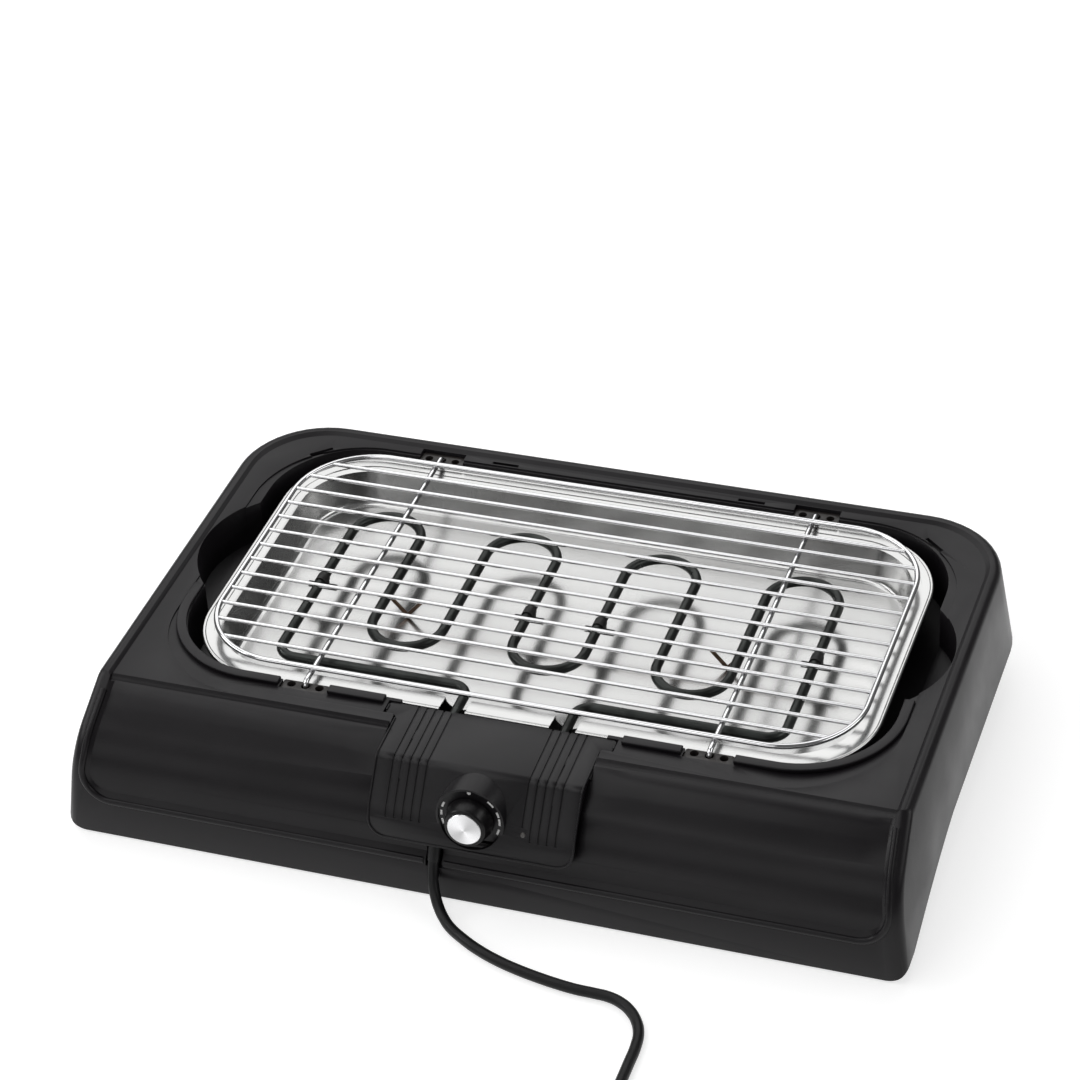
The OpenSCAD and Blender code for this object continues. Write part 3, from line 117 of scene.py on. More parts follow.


class Finish:
    """A Principled material whose pattern reads Object coordinates."""

    def __init__(self, name, base, roughness, metallic=0.0, **constants):
        self.material = bpy.data.materials.new(name)
        self.material.use_nodes = True
        self.tree = self.material.node_tree
        self.shader = self.tree.nodes["Principled BSDF"]
        self.place = self.node("ShaderNodeTexCoord").outputs["Object"]
        self.shader.inputs["Base Color"].default_value = (*base, 1)
        self.shader.inputs["Roughness"].default_value = roughness
        self.shader.inputs["Metallic"].default_value = metallic
        for socket, value in constants.items():
            self.shader.inputs[socket.replace("_", " ")].default_value = value

    def node(self, kind, **settings):
        made = self.tree.nodes.new(kind)
        for name, value in settings.items():
            setattr(made, name, value)
        return made

    def link(self, output, target):
        self.tree.links.new(output, target)

    def stretched(self, scale):
        """Object coordinates scaled apart along X, Y and Z."""
        mapping = self.node("ShaderNodeMapping")
        mapping.inputs["Scale"].default_value = scale
        self.link(self.place, mapping.inputs["Vector"])
        return mapping.outputs["Vector"]

    def noise(self, scale, detail, vector=None):
        """Noise pattern, whose scale says how many of its features go into a metre."""
        made = self.node("ShaderNodeTexNoise")
        made.inputs["Scale"].default_value = scale
        made.inputs["Detail"].default_value = detail
        self.link(vector or self.place, made.inputs["Vector"])
        return made.outputs["Fac"]

    def spread(self, value, low, high, start=NOISE_LOW, end=NOISE_HIGH):
        """Value from start..end drawn out to low..high."""
        made = self.node("ShaderNodeMapRange")
        made.inputs["From Min"].default_value = start
        made.inputs["From Max"].default_value = end
        made.inputs["To Min"].default_value = low
        made.inputs["To Max"].default_value = high
        self.link(value, made.inputs["Value"])
        return made.outputs["Result"]

    def vary_colour(self, value, dark, light, start=NOISE_LOW, end=NOISE_HIGH):
        """Base colour that goes from dark to light as the value goes from start to end."""
        ramp = self.node("ShaderNodeValToRGB")
        for element, position, tone in zip(ramp.color_ramp.elements, (start, end), (dark, light)):
            element.position = position
            element.color = (*tone, 1)
        self.link(value, ramp.inputs["Fac"])
        self.link(ramp.outputs["Color"], self.shader.inputs["Base Color"])

    def vary_roughness(self, value, low, high):
        self.link(self.spread(value, low, high), self.shader.inputs["Roughness"])

    def bump(self, value, depth, strength):
        """Relief of the given depth, laid over any that is there already."""
        made = self.node("ShaderNodeBump")
        made.inputs["Distance"].default_value = depth
        made.inputs["Strength"].default_value = strength
        self.link(value, made.inputs["Height"])
        last = self.shader.inputs["Normal"].links
        if last:
            self.link(last[0].from_socket, made.inputs["Normal"])
        self.link(made.outputs["Normal"], self.shader.inputs["Normal"])


def toned(base, factor):
    """Base colour made lighter or darker."""
    return tuple(min(1.0, c * factor) for c in base)


def moulded(name, base, roughness, grain):
    """Moulded plastic: spark-eroded grain, with soft changes of gloss."""
    made = Finish(name, base, roughness, Specular_IOR_Level=0.24)
    made.vary_colour(made.noise(35, 4), toned(base, 0.88), toned(base, 1.12))
    made.vary_roughness(made.noise(22, 3), roughness - 0.04, roughness + 0.05)
    made.bump(made.noise(1 / grain, 2), 0.03 * MM, 0.35)
    return made.material


def housing_plastic():
    return moulded("housing plastic", colours().housing, 0.36, 0.35 * MM)


def unit_plastic():
    return moulded("unit plastic", colours().unit, 0.34, 0.35 * MM)


def knob_plastic():
    return moulded("knob plastic", toned(colours().unit, 0.5), 0.30, 0.3 * MM)


def rest_plastic():
    """Heat-proof moulding compound, brownish and slightly mottled."""
    base = colours().rests
    made = Finish("rest compound", base, 0.42)
    made.vary_colour(made.noise(420, 5), toned(base, 0.7), toned(base, 1.5))
    made.vary_roughness(made.noise(160, 3), 0.34, 0.50)
    made.bump(made.noise(2400, 3), 0.03 * MM, 0.4)
    return made.material


def rubber():
    base = colours().rubber
    made = Finish("foot rubber", base, 0.75)
    made.vary_colour(made.noise(300, 4), toned(base, 0.8), toned(base, 1.4))
    made.bump(made.noise(1500, 3), 0.05 * MM, 0.5)
    return made.material


def tray_metal():
    """Bright drawn sheet: soft waves from pressing and a faint grain along the tray."""
    base = colours().tray
    made = Finish("tray sheet", base, 0.2, 1.0)
    made.vary_colour(made.noise(9, 3), toned(base, 0.95), toned(base, 1.04))
    made.vary_roughness(made.noise(14, 3, made.stretched((0.4, 1, 1))), 0.17, 0.26)
    made.bump(made.noise(16, 2), 0.45 * MM, 0.25)
    made.bump(made.noise(200, 2, made.stretched((0.05, 1, 1))), 0.012 * MM, 0.2)
    return made.material


def element_metal():
    """Oxidised steel sheath of the heater, grey-green with darker patches."""
    base = colours().element
    made = Finish("heater sheath", base, 0.34, 0.75)
    made.vary_colour(made.noise(60, 5), toned(base, 0.6), toned(base, 1.35))
    made.vary_roughness(made.noise(90, 4), 0.26, 0.42)
    made.bump(made.noise(900, 3), 0.03 * MM, 0.4)
    return made.material


def wire_metal():
    base = colours().wire
    made = Finish("browned wire", base, 0.35, 0.8)
    made.vary_colour(made.noise(120, 4), toned(base, 0.55), toned(base, 1.25))
    made.vary_roughness(made.noise(150, 3), 0.28, 0.45)
    return made.material


def clip_metal():
    made = Finish("clip sheet", (0.018, 0.018, 0.018), 0.45, 0.4)
    made.vary_colour(made.noise(250, 4), (0.012, 0.012, 0.012), (0.030, 0.029, 0.028))
    made.vary_roughness(made.noise(200, 3), 0.38, 0.52)
    return made.material


def plain_steel():
    made = Finish("zinc plate", (0.60, 0.60, 0.62), 0.3, 1.0)
    made.vary_colour(made.noise(180, 4), (0.48, 0.48, 0.50), (0.68, 0.68, 0.70))
    made.vary_roughness(made.noise(240, 3), 0.24, 0.38)
    return made.material


def chrome():
    """Plated wire, with a faint unevenness from plating."""
    base = colours().chrome
    made = Finish("bright plating", base, 0.1, 1.0)
    made.vary_colour(made.noise(26, 3), toned(base, 0.93), toned(base, 1.04))
    made.vary_roughness(made.noise(70, 3), 0.07, 0.15)
    made.bump(made.noise(420, 2), 0.02 * MM, 0.2)
    return made.material


def insulator():
    made = Finish("insulator", (0.72, 0.68, 0.58), 0.5)
    made.vary_colour(made.noise(150, 4), (0.62, 0.58, 0.49), (0.76, 0.72, 0.62))
    made.bump(made.noise(1200, 3), 0.03 * MM, 0.4)
    return made.material


def lens_glass():
    made = Finish("lens", (0.09, 0.085, 0.08), 0.15, Transmission_Weight=0.25, IOR=1.49)
    made.vary_colour(made.noise(400, 2), (0.075, 0.07, 0.065), (0.11, 0.10, 0.095))
    return made.material


def lamp_glass():
    made = Finish("lamp", (0.75, 0.26, 0.07), 0.2)
    made.vary_colour(made.noise(300, 2), (0.68, 0.22, 0.05), (0.80, 0.32, 0.10))
    return made.material


def plunger_plastic():
    made = Finish("plunger", (0.50, 0.07, 0.04), 0.35)
    made.vary_colour(made.noise(500, 3), (0.44, 0.06, 0.035), (0.55, 0.09, 0.05))
    return made.material


def cap_metal():
    """Turned face: fine rings about the dial's axis, with painted highlight fans of lighter and
    darker colour round the centre.
    """
    base = colours().cap
    made = Finish("turned cap", base, 0.24, 1.0, Anisotropic=0.85)
    centred = made.node("ShaderNodeVectorMath", operation="SUBTRACT")
    centred.inputs[1].default_value = DIAL_CENTRE
    made.link(made.place, centred.inputs[0])
    round_axis = made.node("ShaderNodeVectorMath", operation="CROSS_PRODUCT")
    round_axis.inputs[1].default_value = DIAL_OUT
    made.link(centred.outputs[0], round_axis.inputs[0])
    made.link(round_axis.outputs[0], made.shader.inputs["Tangent"])
    reach = made.node("ShaderNodeVectorMath", operation="LENGTH")
    made.link(round_axis.outputs[0], reach.inputs[0])
    rings = made.node("ShaderNodeMath", operation="SINE")
    turns = made.node("ShaderNodeMath", operation="MULTIPLY")
    turns.inputs[1].default_value = 2 * math.pi / CAP_RINGS
    made.link(reach.outputs["Value"], turns.inputs[0])
    made.link(turns.outputs[0], rings.inputs[0])
    made.bump(rings.outputs[0], 0.004 * MM, 0.25)
    # Painted highlight: the base colour goes lighter and darker in fans round the dial's centre
    upright = made.node("ShaderNodeMapping")
    upright.inputs["Rotation"].default_value = (math.pi / 2, 0, 0)
    made.link(centred.outputs[0], upright.inputs["Vector"])
    around = made.node("ShaderNodeTexGradient", gradient_type="RADIAL")
    made.link(upright.outputs["Vector"], around.inputs["Vector"])
    waves = made.node("ShaderNodeMath", operation="MULTIPLY")
    waves.inputs[1].default_value = 2 * math.pi * CAP_PAINTED_FANS
    made.link(around.outputs["Fac"], waves.inputs[0])
    painted_fans = made.node("ShaderNodeMath", operation="SINE")
    made.link(waves.outputs[0], painted_fans.inputs[0])
    painted_highlight = made.spread(painted_fans.outputs[0], 0, 1, start=-1, end=1)
    made.vary_colour(painted_highlight, toned(base, 0.66), toned(base, 1.12), start=0, end=1)
    return made.material


def cord_rubber():
    base = colours().cord
    made = Finish("cord sheath", base, 0.36, Specular_IOR_Level=0.25)
    made.vary_colour(made.noise(90, 3), toned(base, 0.85), toned(base, 1.2))
    made.vary_roughness(made.noise(60, 3), 0.36, 0.48)
    made.bump(made.noise(900, 2), 0.02 * MM, 0.3)
    return made.material


def lead_sleeve():
    made = Finish("lead sleeve", (0.48, 0.45, 0.38), 0.7)
    made.vary_colour(made.noise(800, 3), (0.40, 0.37, 0.31), (0.55, 0.52, 0.45))
    return made.material


def brass():
    made = Finish("brass", (0.64, 0.48, 0.22), 0.3, 1.0)
    made.vary_colour(made.noise(200, 3), (0.55, 0.41, 0.18), (0.70, 0.53, 0.26))
    return made.material


def mark_print():
    base = colours().marks
    made = Finish("dial print", base, 0.55)
    made.vary_colour(made.noise(900, 3), toned(base, 0.92), toned(base, 1.05))
    return made.material


# Maker of the finish of each slot
SLOT_FINISH = {
    "housing": housing_plastic, "rest": rest_plastic, "rubber": rubber, "tray": tray_metal,
    "element": element_metal, "wire_brown": wire_metal, "clip": clip_metal, "steel": plain_steel,
    "cover": unit_plastic, "insulator": insulator, "lens": lens_glass, "lamp": lamp_glass,
    "switch": clip_metal, "plunger": plunger_plastic, "knob": knob_plastic, "cap": cap_metal,
    "chrome": chrome, "cord": cord_rubber, "lead": lead_sleeve, "brass": brass,
}
made_finishes = {}


def finish_for(slot):
    """The one material of a slot, made when it is first asked for."""
    maker = SLOT_FINISH[slot]
    if maker not in made_finishes:
        made_finishes[maker] = maker()
    return made_finishes[maker]


def dress(obj, material):
    obj.data.materials.clear()
    obj.data.materials.append(material)


# ------------------------------ modelling helpers
MERGE = 0.002 * MM             # vertices closer than this are one
FLAT = math.radians(0.3)       # faces that meet at less than this are one
BEVEL_ANGLE = math.radians(30)  # edges sharper than this are rounded


def new_object(name, data):
    """Object that holds data, in the scene's collection."""
    made = bpy.data.objects.new(name, data)
    bpy.context.collection.objects.link(made)
    return made


def only(obj):
    """Leave obj alone selected and active."""
    bpy.ops.object.select_all(action="DESELECT")
    obj.select_set(True)
    bpy.context.view_layer.objects.active = obj


def settled(obj):
    """Put obj's place, turn and size into its mesh."""
    only(obj)
    bpy.ops.object.transform_apply(location=True, rotation=True, scale=True)


def apply_modifier(obj, kind, **settings):
    only(obj)
    bpy.ops.object.modifier_add(type=kind)
    modifier = obj.modifiers[-1]
    for name, value in settings.items():
        setattr(modifier, name, value)
    bpy.ops.object.modifier_apply(modifier=modifier.name)


def joined(pieces, name):
    """The pieces made one object of that name."""
    bpy.ops.object.select_all(action="DESELECT")
    for piece in pieces:
        piece.select_set(True)
    bpy.context.view_layer.objects.active = pieces[0]
    bpy.ops.object.join()
    bpy.context.object.name = name
    return bpy.context.object


def face_out(obj, merge=False):
    """Turn obj's faces outwards, with its doubles merged first where asked."""
    only(obj)
    bpy.ops.object.mode_set(mode="EDIT")
    bpy.ops.mesh.select_all(action="SELECT")
    if merge:
        bpy.ops.mesh.remove_doubles(threshold=MERGE)
    bpy.ops.mesh.normals_make_consistent(inside=False)
    bpy.ops.object.mode_set(mode="OBJECT")


def body_of(node):
    """The body that moves a node."""
    for body, nodes in frame["record"]["behaviour"]["bodies"].items():
        if node in nodes:
            return body
    raise ValueError(f"no body holds {node}")


def slot_of(node):
    return frame["nodes"][node].material_slots[0].material.name


def merged_copy(node, name):
    """Copy of a node as whole faces on shared vertices, left in edit mode with all selected."""
    piece = new_object(name, frame["nodes"][node].data.copy())
    only(piece)
    bpy.ops.object.mode_set(mode="EDIT")
    bpy.ops.mesh.select_all(action="SELECT")
    bpy.ops.mesh.customdata_custom_splitnormals_clear()
    bpy.ops.mesh.remove_doubles(threshold=MERGE)
    bpy.ops.mesh.dissolve_limited(angle_limit=FLAT)
    return piece


def belongs_with(piece, node, smooth):
    """Shade piece smooth up to an angle, and give it the finish made for a node's slot and the
    node's body.
    """
    slot = slot_of(node)
    only(piece)
    bpy.ops.object.shade_smooth_by_angle(angle=math.radians(smooth))
    dress(piece, finish_for(slot))
    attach(piece, body_of(node))


def finished_copy(node, round_width=0, smooth=35, shaping=None):
    """Merged copy of a node with its edges rounded, which stands for the node.

    shaping is called in edit mode, before the edges are rounded."""
    piece = merged_copy(node, node + "_finished")
    if shaping:
        shaping(piece)
    bpy.ops.object.mode_set(mode="OBJECT")
    if round_width:
        apply_modifier(piece, "BEVEL", width=round_width, segments=2, limit_method="ANGLE",
                       angle_limit=BEVEL_ANGLE, use_clamp_overlap=True,
                       miter_outer="MITER_ARC", harden_normals=False)
    belongs_with(piece, node, smooth)
    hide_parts(node)


def round_curve(name, radius, resolution):
    """Curve data that gives a round wire with closed ends."""
    data = bpy.data.curves.new(name, "CURVE")
    data.dimensions = "3D"
    data.bevel_depth = radius
    data.bevel_resolution = resolution
    data.use_fill_caps = True
    return data


def dress_node(node):
    """Give a node its finish where it is shown as the solids have it."""
    dress(frame["nodes"][node], finish_for(slot_of(node)))


# ------------------------------ housing, rests and feet
# The housing's front face, as height and y in mm, and how far its raised border is drawn out
FACE_ROWS = ((0, -168.4), (30, -165.94), (40, -164.99), (50, -162.46), (60, -157.01), (64, -153.69),
             (70, -146.91), (86, -125.68), (91, -119.1))
BORDER_OUT = ((0, 2.6), (36, 2.4), (48, 2.0), (58, 2.0), (68.2, 2.4), (85, 0.8), (91, 0.0))
SHELF_FALL = 1.0               # mm that the shelf under the panel falls towards its outer edge
SHELF_ROWS = ((27.4, 0), (27.6, SHELF_FALL), (28.6, SHELF_FALL), (46, 0), (100, 0))
BORDER_BACK = -116             # y behind which nothing is border
BORDER_SKIN = 0.6              # mm behind the front face in which a vertex lies on it
BORDER_SIDE = (257, 9)         # past this x, the border reaches this far behind the face, in mm
FRONT_FACING = -0.02           # faces whose normal's y is below this look to the front
# Roll along the panel's top: from the crest, down the slope and out of it
SLOPE = math.radians(37)
SLOPE_DOWN = Vector((0, -math.cos(SLOPE), -math.sin(SLOPE)))
SLOPE_OUT = Vector((0, -math.sin(SLOPE), math.cos(SLOPE)))
CREST = Vector((0, -122.7, 86.7)) * MM
DECK_Z = 88.1 * MM
ROLL_ROWS = ((2, -0.31), (3.5, 0.55), (5, 1.2), (7, 1.75), (9, 1.94), (11.5, 1.86), (15, 1.52),
             (19, 0.97), (24, 0.3))
ROLL_ENDS = (67, 90, 234)      # where the roll starts, is full, and begins to fade, in mm
SLOPE_HEIGHTS = (67, 87)       # mm above the table between which the slope's faces lie
SLOPE_HALF = 250               # mm, half the slope's length
SLOPE_ALIKE = 0.9998           # cosine between a face's normal and the slope's
OFF_SLOPE = 0.2 * MM           # a vertex or face nearer than this lies on the slope
ON_ROW = 0.05 * MM             # a vertex nearer than this lies on a row of the roll
PAST_END = 0.1                 # mm by which it may pass the end of its row
# The groove behind the crest: where its floor lies in y and in height, and its farthest x, in mm
GROOVE_Y, GROOVE_Z, GROOVE_HALF = (-124, -116), (86.5, 87.99), 250.9
GROOVE_DEEPER = 2              # times as deep under the deck as the solids have it


def between(rows, at):
    """Value of a table of pairs, along straight lines and held beyond its ends."""
    at = max(at, rows[0][0])
    for (x0, y0), (x1, y1) in zip(rows, rows[1:]):
        if at <= x1:
            return y0 + (y1 - y0) * (at - x0) / (x1 - x0)
    return rows[-1][1]


def pick(piece, wanted):
    """Select the vertices that wanted() accepts, and say how many they are."""
    bpy.ops.mesh.select_mode(type="VERT")
    bpy.ops.mesh.select_all(action="DESELECT")
    mesh = bmesh.from_edit_mesh(piece.data)
    count = 0
    for vert in mesh.verts:
        if wanted(vert):
            vert.select = True
            count += 1
    mesh.select_flush(True)
    bmesh.update_edit_mesh(piece.data)
    return count


def on_border(vert):
    """Whether a vertex lies on the raised border round the front panel."""
    x, y, z = abs(vert.co.x) / MM, vert.co.y / MM, vert.co.z / MM
    if y > BORDER_BACK or not any(f.normal.y < FRONT_FACING for f in vert.link_faces):
        return False
    behind = y - between(FACE_ROWS, z)
    side_x, side_reach = BORDER_SIDE
    return behind < BORDER_SKIN or (x > side_x and behind < side_reach)


def draw_out_border(piece):
    """Draw the border out of the front, so that the panel lies deeper, with a shelf under it."""
    rows = {}
    for vert in bmesh.from_edit_mesh(piece.data).verts:
        if on_border(vert):
            rows.setdefault(round(vert.co.z / MM, 1), set()).add(vert.index)
    for height in sorted(rows):
        pick(piece, lambda vert: vert.index in rows[height])
        out, fall = between(BORDER_OUT, height), between(SHELF_ROWS, height)
        bpy.ops.transform.translate(value=Vector((0, -out, -fall)) * MM)


def slope_face(face):
    """Whether a face is part of the slope in front of the crest."""
    centre = face.calc_center_median()
    low, high = SLOPE_HEIGHTS
    return (face.normal.dot(SLOPE_OUT) > SLOPE_ALIKE and low < centre.z / MM < high
            and abs((centre - CREST).dot(SLOPE_OUT)) < OFF_SLOPE
            and abs(centre.x) / MM < SLOPE_HALF)


def cut_slope(piece, place, direction):
    """Cut the slope's faces where a plane crosses them."""
    bpy.ops.mesh.select_mode(type="FACE")
    bpy.ops.mesh.select_all(action="DESELECT")
    mesh = bmesh.from_edit_mesh(piece.data)
    for face in mesh.faces:
        face.select = slope_face(face)
    bmesh.update_edit_mesh(piece.data)
    bpy.ops.mesh.bisect(plane_co=place, plane_no=direction)


def on_row(vert, along):
    """Whether a vertex lies on the roll's row that is along mm down the slope."""
    reach = vert.co - CREST
    return (abs(reach.dot(SLOPE_DOWN) - along * MM) < ON_ROW
            and abs(reach.dot(SLOPE_OUT)) < OFF_SLOPE
            and ROLL_ENDS[1] - PAST_END < abs(vert.co.x) / MM < ROLL_ENDS[2] + PAST_END)


def in_groove(vert):
    """Whether a vertex lies on the floor of the groove behind the crest."""
    x, y, z = vert.co / MM
    return (GROOVE_Y[0] < y < GROOVE_Y[1] and GROOVE_Z[0] < z < GROOVE_Z[1]
            and abs(x) < GROOVE_HALF)


def roll_panel_top(piece):
    """Deepen the groove behind the crest and swell the slope in front of it into a roll."""
    for along, _ in ROLL_ROWS:
        cut_slope(piece, CREST + SLOPE_DOWN * along * MM, SLOPE_DOWN)
    for side in (-1, 1):
        for end in ROLL_ENDS:
            cut_slope(piece, Vector((side * end * MM, 0, 0)), Vector((1, 0, 0)))
    for along, lift in ROLL_ROWS:
        if not pick(piece, lambda vert: on_row(vert, along)):
            raise RuntimeError(f"no row {along} mm down the slope")
        bpy.ops.transform.translate(value=SLOPE_OUT * lift * MM)
    if not pick(piece, in_groove):
        raise RuntimeError("no groove behind the crest")
    bpy.ops.transform.resize(value=(1, 1, GROOVE_DEEPER), center_override=(0, 0, DECK_Z))


def shape_housing(piece):
    """What the housing's front has beyond its solid."""
    roll_panel_top(piece)
    draw_out_border(piece)


class GRILL_OT_housing(bpy.types.Operator):
    """Draw out the housing's front border, roll its panel's top and round its edges"""
    bl_idname = "grill.housing"
    bl_label = "Housing"

    def execute(self, context):
        finished_copy("base_housing", sizes().edge_round, shaping=shape_housing)
        return {"FINISHED"}


RIM_WIDTH = 6.6                # mm
RIM_ROUND = 0.7 * MM           # rounding of the rim's edges
RIM_SHARP = math.radians(40)   # edges sharper than this are rounded
RIM_FOOT, RIM_TOP = 86.6, 89.4  # mm above the table
RIM_STEPS = 24                 # of a corner's quarter turn
RIM_TURN = (169.5, -36.1)      # where the rim's front corner turns about, in mm
RIM_RADIUS = 60.2              # mm, of the rim's inner edge
RIM_REAR = -19.8               # y at which the rim ends beside the well
RIM_REST = (113.2, 145.6)      # the rim leaves this room for a rest, in x
RIM_UNIT = 76.0                # x at which the rim ends beside the control unit


def rim_line(out):
    """Corner of the rim from beside the well to the rest, out mm from its inner edge."""
    radius = RIM_RADIUS + out
    points = [(RIM_TURN[0] + radius, RIM_REAR)]
    for step in range(RIM_STEPS + 1):
        turn = math.radians(90 * step / RIM_STEPS)
        points.append((RIM_TURN[0] + radius * math.cos(turn),
                       RIM_TURN[1] - radius * math.sin(turn)))
    points.append((RIM_REST[1], RIM_TURN[1] - radius))
    return points


def rim_piece(name, inner, outer, side):
    """Raised strip between two lines, on the side of the housing given by -1 or 1."""
    points = [(side * x * MM, y * MM, RIM_FOOT * MM) for x, y in inner + outer]
    count = len(inner)
    faces = [(i, i + 1, count + i + 1, count + i) for i in range(count - 1)]
    mesh = bpy.data.meshes.new(name)
    mesh.from_pydata(points, [], faces)
    piece = new_object(name, mesh)
    only(piece)
    bpy.ops.object.mode_set(mode="EDIT")
    bpy.ops.mesh.select_all(action="SELECT")
    rise = (0, 0, (RIM_TOP - RIM_FOOT) * MM)
    bpy.ops.mesh.extrude_region_move(TRANSFORM_OT_translate={"value": rise})
    bpy.ops.object.mode_set(mode="OBJECT")
    face_out(piece)
    return piece


class GRILL_OT_rim(bpy.types.Operator):
    """Raise the rim round the front corners of the well"""
    bl_idname = "grill.rim"
    bl_label = "Well rim"

    def execute(self, context):
        front = RIM_TURN[1] - RIM_RADIUS
        straight = ([(RIM_REST[0], front), (RIM_UNIT, front)],
                    [(RIM_REST[0], front - RIM_WIDTH), (RIM_UNIT, front - RIM_WIDTH)])
        strips = []
        for side in (-1, 1):
            strips.append(rim_piece("well_rim", rim_line(0), rim_line(RIM_WIDTH), side))
            strips.append(rim_piece("well_rim_front", *straight, side))
        piece = joined(strips, "well_rim")
        apply_modifier(piece, "BEVEL", width=RIM_ROUND, segments=3, limit_method="ANGLE",
                       angle_limit=RIM_SHARP)
        belongs_with(piece, "base_housing", smooth=35)
        return {"FINISHED"}


LIP_RADIUS = 2.3               # mm, of the roll along the border's inner edge
LIP_SINK = 1.0                 # mm that its middle lies behind the edge
LIP_TOP = 83                   # mm above the table, where it ends
LIP_PITCH = 4                  # mm from one point of its upright part to the next
LIP_STEPS = 12                 # of the corner's quarter turn
PANEL_SIDE = ((0, 260.5), (90, 249.5))  # the panel's side, as height and x in mm
PANEL_CORNER = (236.9, 46, 18)  # middle and radius of the panel's lower corner, in mm
CORD_GAP = (-30.5, -17.5)      # the lip leaves this room for the cord, in x


def lip_point(x, z, across, down):
    """Middle of the lip behind the border's edge at x and z."""
    y = between(FACE_ROWS, z) - between(BORDER_OUT, z) + LIP_SINK
    fall = between(SHELF_ROWS, z)
    return Vector((x + across * LIP_SINK, y, z - fall - down * LIP_SINK)) * MM


def lip_line(side, end):
    """Line of the lip from the panel's top down its side and along its foot to x = end."""
    x0, z0, radius = PANEL_CORNER
    points = []
    for z in range(LIP_TOP, z0, -LIP_PITCH):
        points.append(lip_point(side * between(PANEL_SIDE, z), z, side, 0))
    for step in range(LIP_STEPS + 1):
        turn = math.radians(90 - 90 * step / LIP_STEPS)
        points.append(lip_point(side * (x0 + radius * math.sin(turn)), z0 - radius * math.cos(turn),
                                side * math.sin(turn), math.cos(turn)))
    points.append(lip_point(end, z0 - radius, 0, 1))
    return points


class GRILL_OT_lip(bpy.types.Operator):
    """Roll the inner edge of the front border"""
    bl_idname = "grill.lip"
    bl_label = "Panel lip"

    def execute(self, context):
        rolls = []
        for side, end in zip((-1, 1), CORD_GAP):
            curve = round_curve("panel_lip", LIP_RADIUS * MM, 4)
            points = lip_line(side, end)
            spline = curve.splines.new("POLY")
            spline.points.add(len(points) - 1)
            for knot, point in zip(spline.points, points):
                knot.co = (*point, 1)
            only(new_object("panel_lip", curve))
            bpy.ops.object.convert(target="MESH")
            rolls.append(bpy.context.object)
        piece = joined(rolls, "panel_lip")
        face_out(piece, merge=True)
        belongs_with(piece, "base_housing", smooth=40)
        return {"FINISHED"}


class GRILL_OT_rests(bpy.types.Operator):
    """Round the grille rests and dress the rubber feet"""
    bl_idname = "grill.rests"
    bl_label = "Rests and feet"

    def execute(self, context):
        for end in ("front_left", "front_right", "rear_left", "rear_right"):
            finished_copy("grille_rest_" + end, sizes().fine_round)
            dress_node("rubber_foot_" + end)
        return {"FINISHED"}


# ------------------------------ tray and heater
class GRILL_OT_tray(bpy.types.Operator):
    """Give the water tray its bright metal"""
    bl_idname = "grill.tray"
    bl_label = "Water tray"

    def execute(self, context):
        finished_copy("water_tray", smooth=25)
        return {"FINISHED"}


CLIPPED_LEGS = (1, 4, 5, 8)    # legs of the heater that have a clip, from the left
CLIP_ROUND = 0.15 * MM


class GRILL_OT_heater(bpy.types.Operator):
    """Dress the heating element, its support wire and its clips"""
    bl_idname = "grill.heater"
    bl_label = "Heating element"

    def execute(self, context):
        finished_copy("heating_element", smooth=40)
        finished_copy("element_support_wire", smooth=50)
        for leg in CLIPPED_LEGS:
            finished_copy(f"element_clip_{leg}", CLIP_ROUND)
        dress_node("element_bracket")
        dress_node("bracket_screws")
        return {"FINISHED"}


# ------------------------------ control unit
COVER_BEAD = 0.75 * MM         # radius of the bead along the cover's outline
COVER_CORNER = (53, 52.3)      # middle of the cover's lower corner, in mm
CORNER_REACH = 11              # mm from there to just inside the corner's outline
COVER_SIDE, COVER_FOOT = 62.5, 41  # x and height just inside the outline, in mm
OUTLINE_SHARP = math.radians(60)  # edges of the outline are sharper than this
SIDE_NORMAL = (0.02, 0.2)      # a side's normal has less than this in y and in z
SKIN_NORMAL = (-0.1, 0.9)      # the skin's normal has less than this in y or more than this in z


def on_outline(edge):
    """Whether an edge of the cover lies where its outer skin meets its sides or its foot."""
    if len(edge.link_faces) != 2 or edge.calc_face_angle_signed() <= OUTLINE_SHARP:
        return False
    middle = (edge.verts[0].co + edge.verts[1].co) / 2 / MM
    x, z = abs(middle.x), middle.z
    x0, z0 = COVER_CORNER
    if x > x0 and z < z0:
        outer = math.hypot(x - x0, z - z0) > CORNER_REACH
    else:
        outer = x > COVER_SIDE or z < COVER_FOOT
    normals = [face.normal for face in edge.link_faces]
    side = any(abs(n.y) < SIDE_NORMAL[0] and n.z < SIDE_NORMAL[1] for n in normals)
    skin = any(n.y < SKIN_NORMAL[0] or n.z > SKIN_NORMAL[1] for n in normals)
    return outer and side and skin


def cover_bead():
    """Fine bead drawn along the outline of the cover."""
    piece = merged_copy("control_cover", "cover_bead")
    mesh = bmesh.from_edit_mesh(piece.data)
    mesh.normal_update()
    kept = {edge for edge in mesh.edges if on_outline(edge)}
    if not kept:
        raise RuntimeError("no outline on the control cover")
    bmesh.ops.delete(mesh, geom=list(mesh.faces), context="FACES_ONLY")
    spare = [edge for edge in mesh.edges if edge not in kept]
    bmesh.ops.delete(mesh, geom=spare, context="EDGES")
    bmesh.update_edit_mesh(piece.data)
    bpy.ops.object.mode_set(mode="OBJECT")
    bpy.ops.object.convert(target="CURVE")
    curve = bpy.context.object.data
    curve.bevel_depth = COVER_BEAD
    curve.bevel_resolution = 3
    curve.use_fill_caps = True
    bpy.ops.object.convert(target="MESH")
    piece = bpy.context.object
    face_out(piece, merge=True)
    belongs_with(piece, "control_cover", smooth=40)


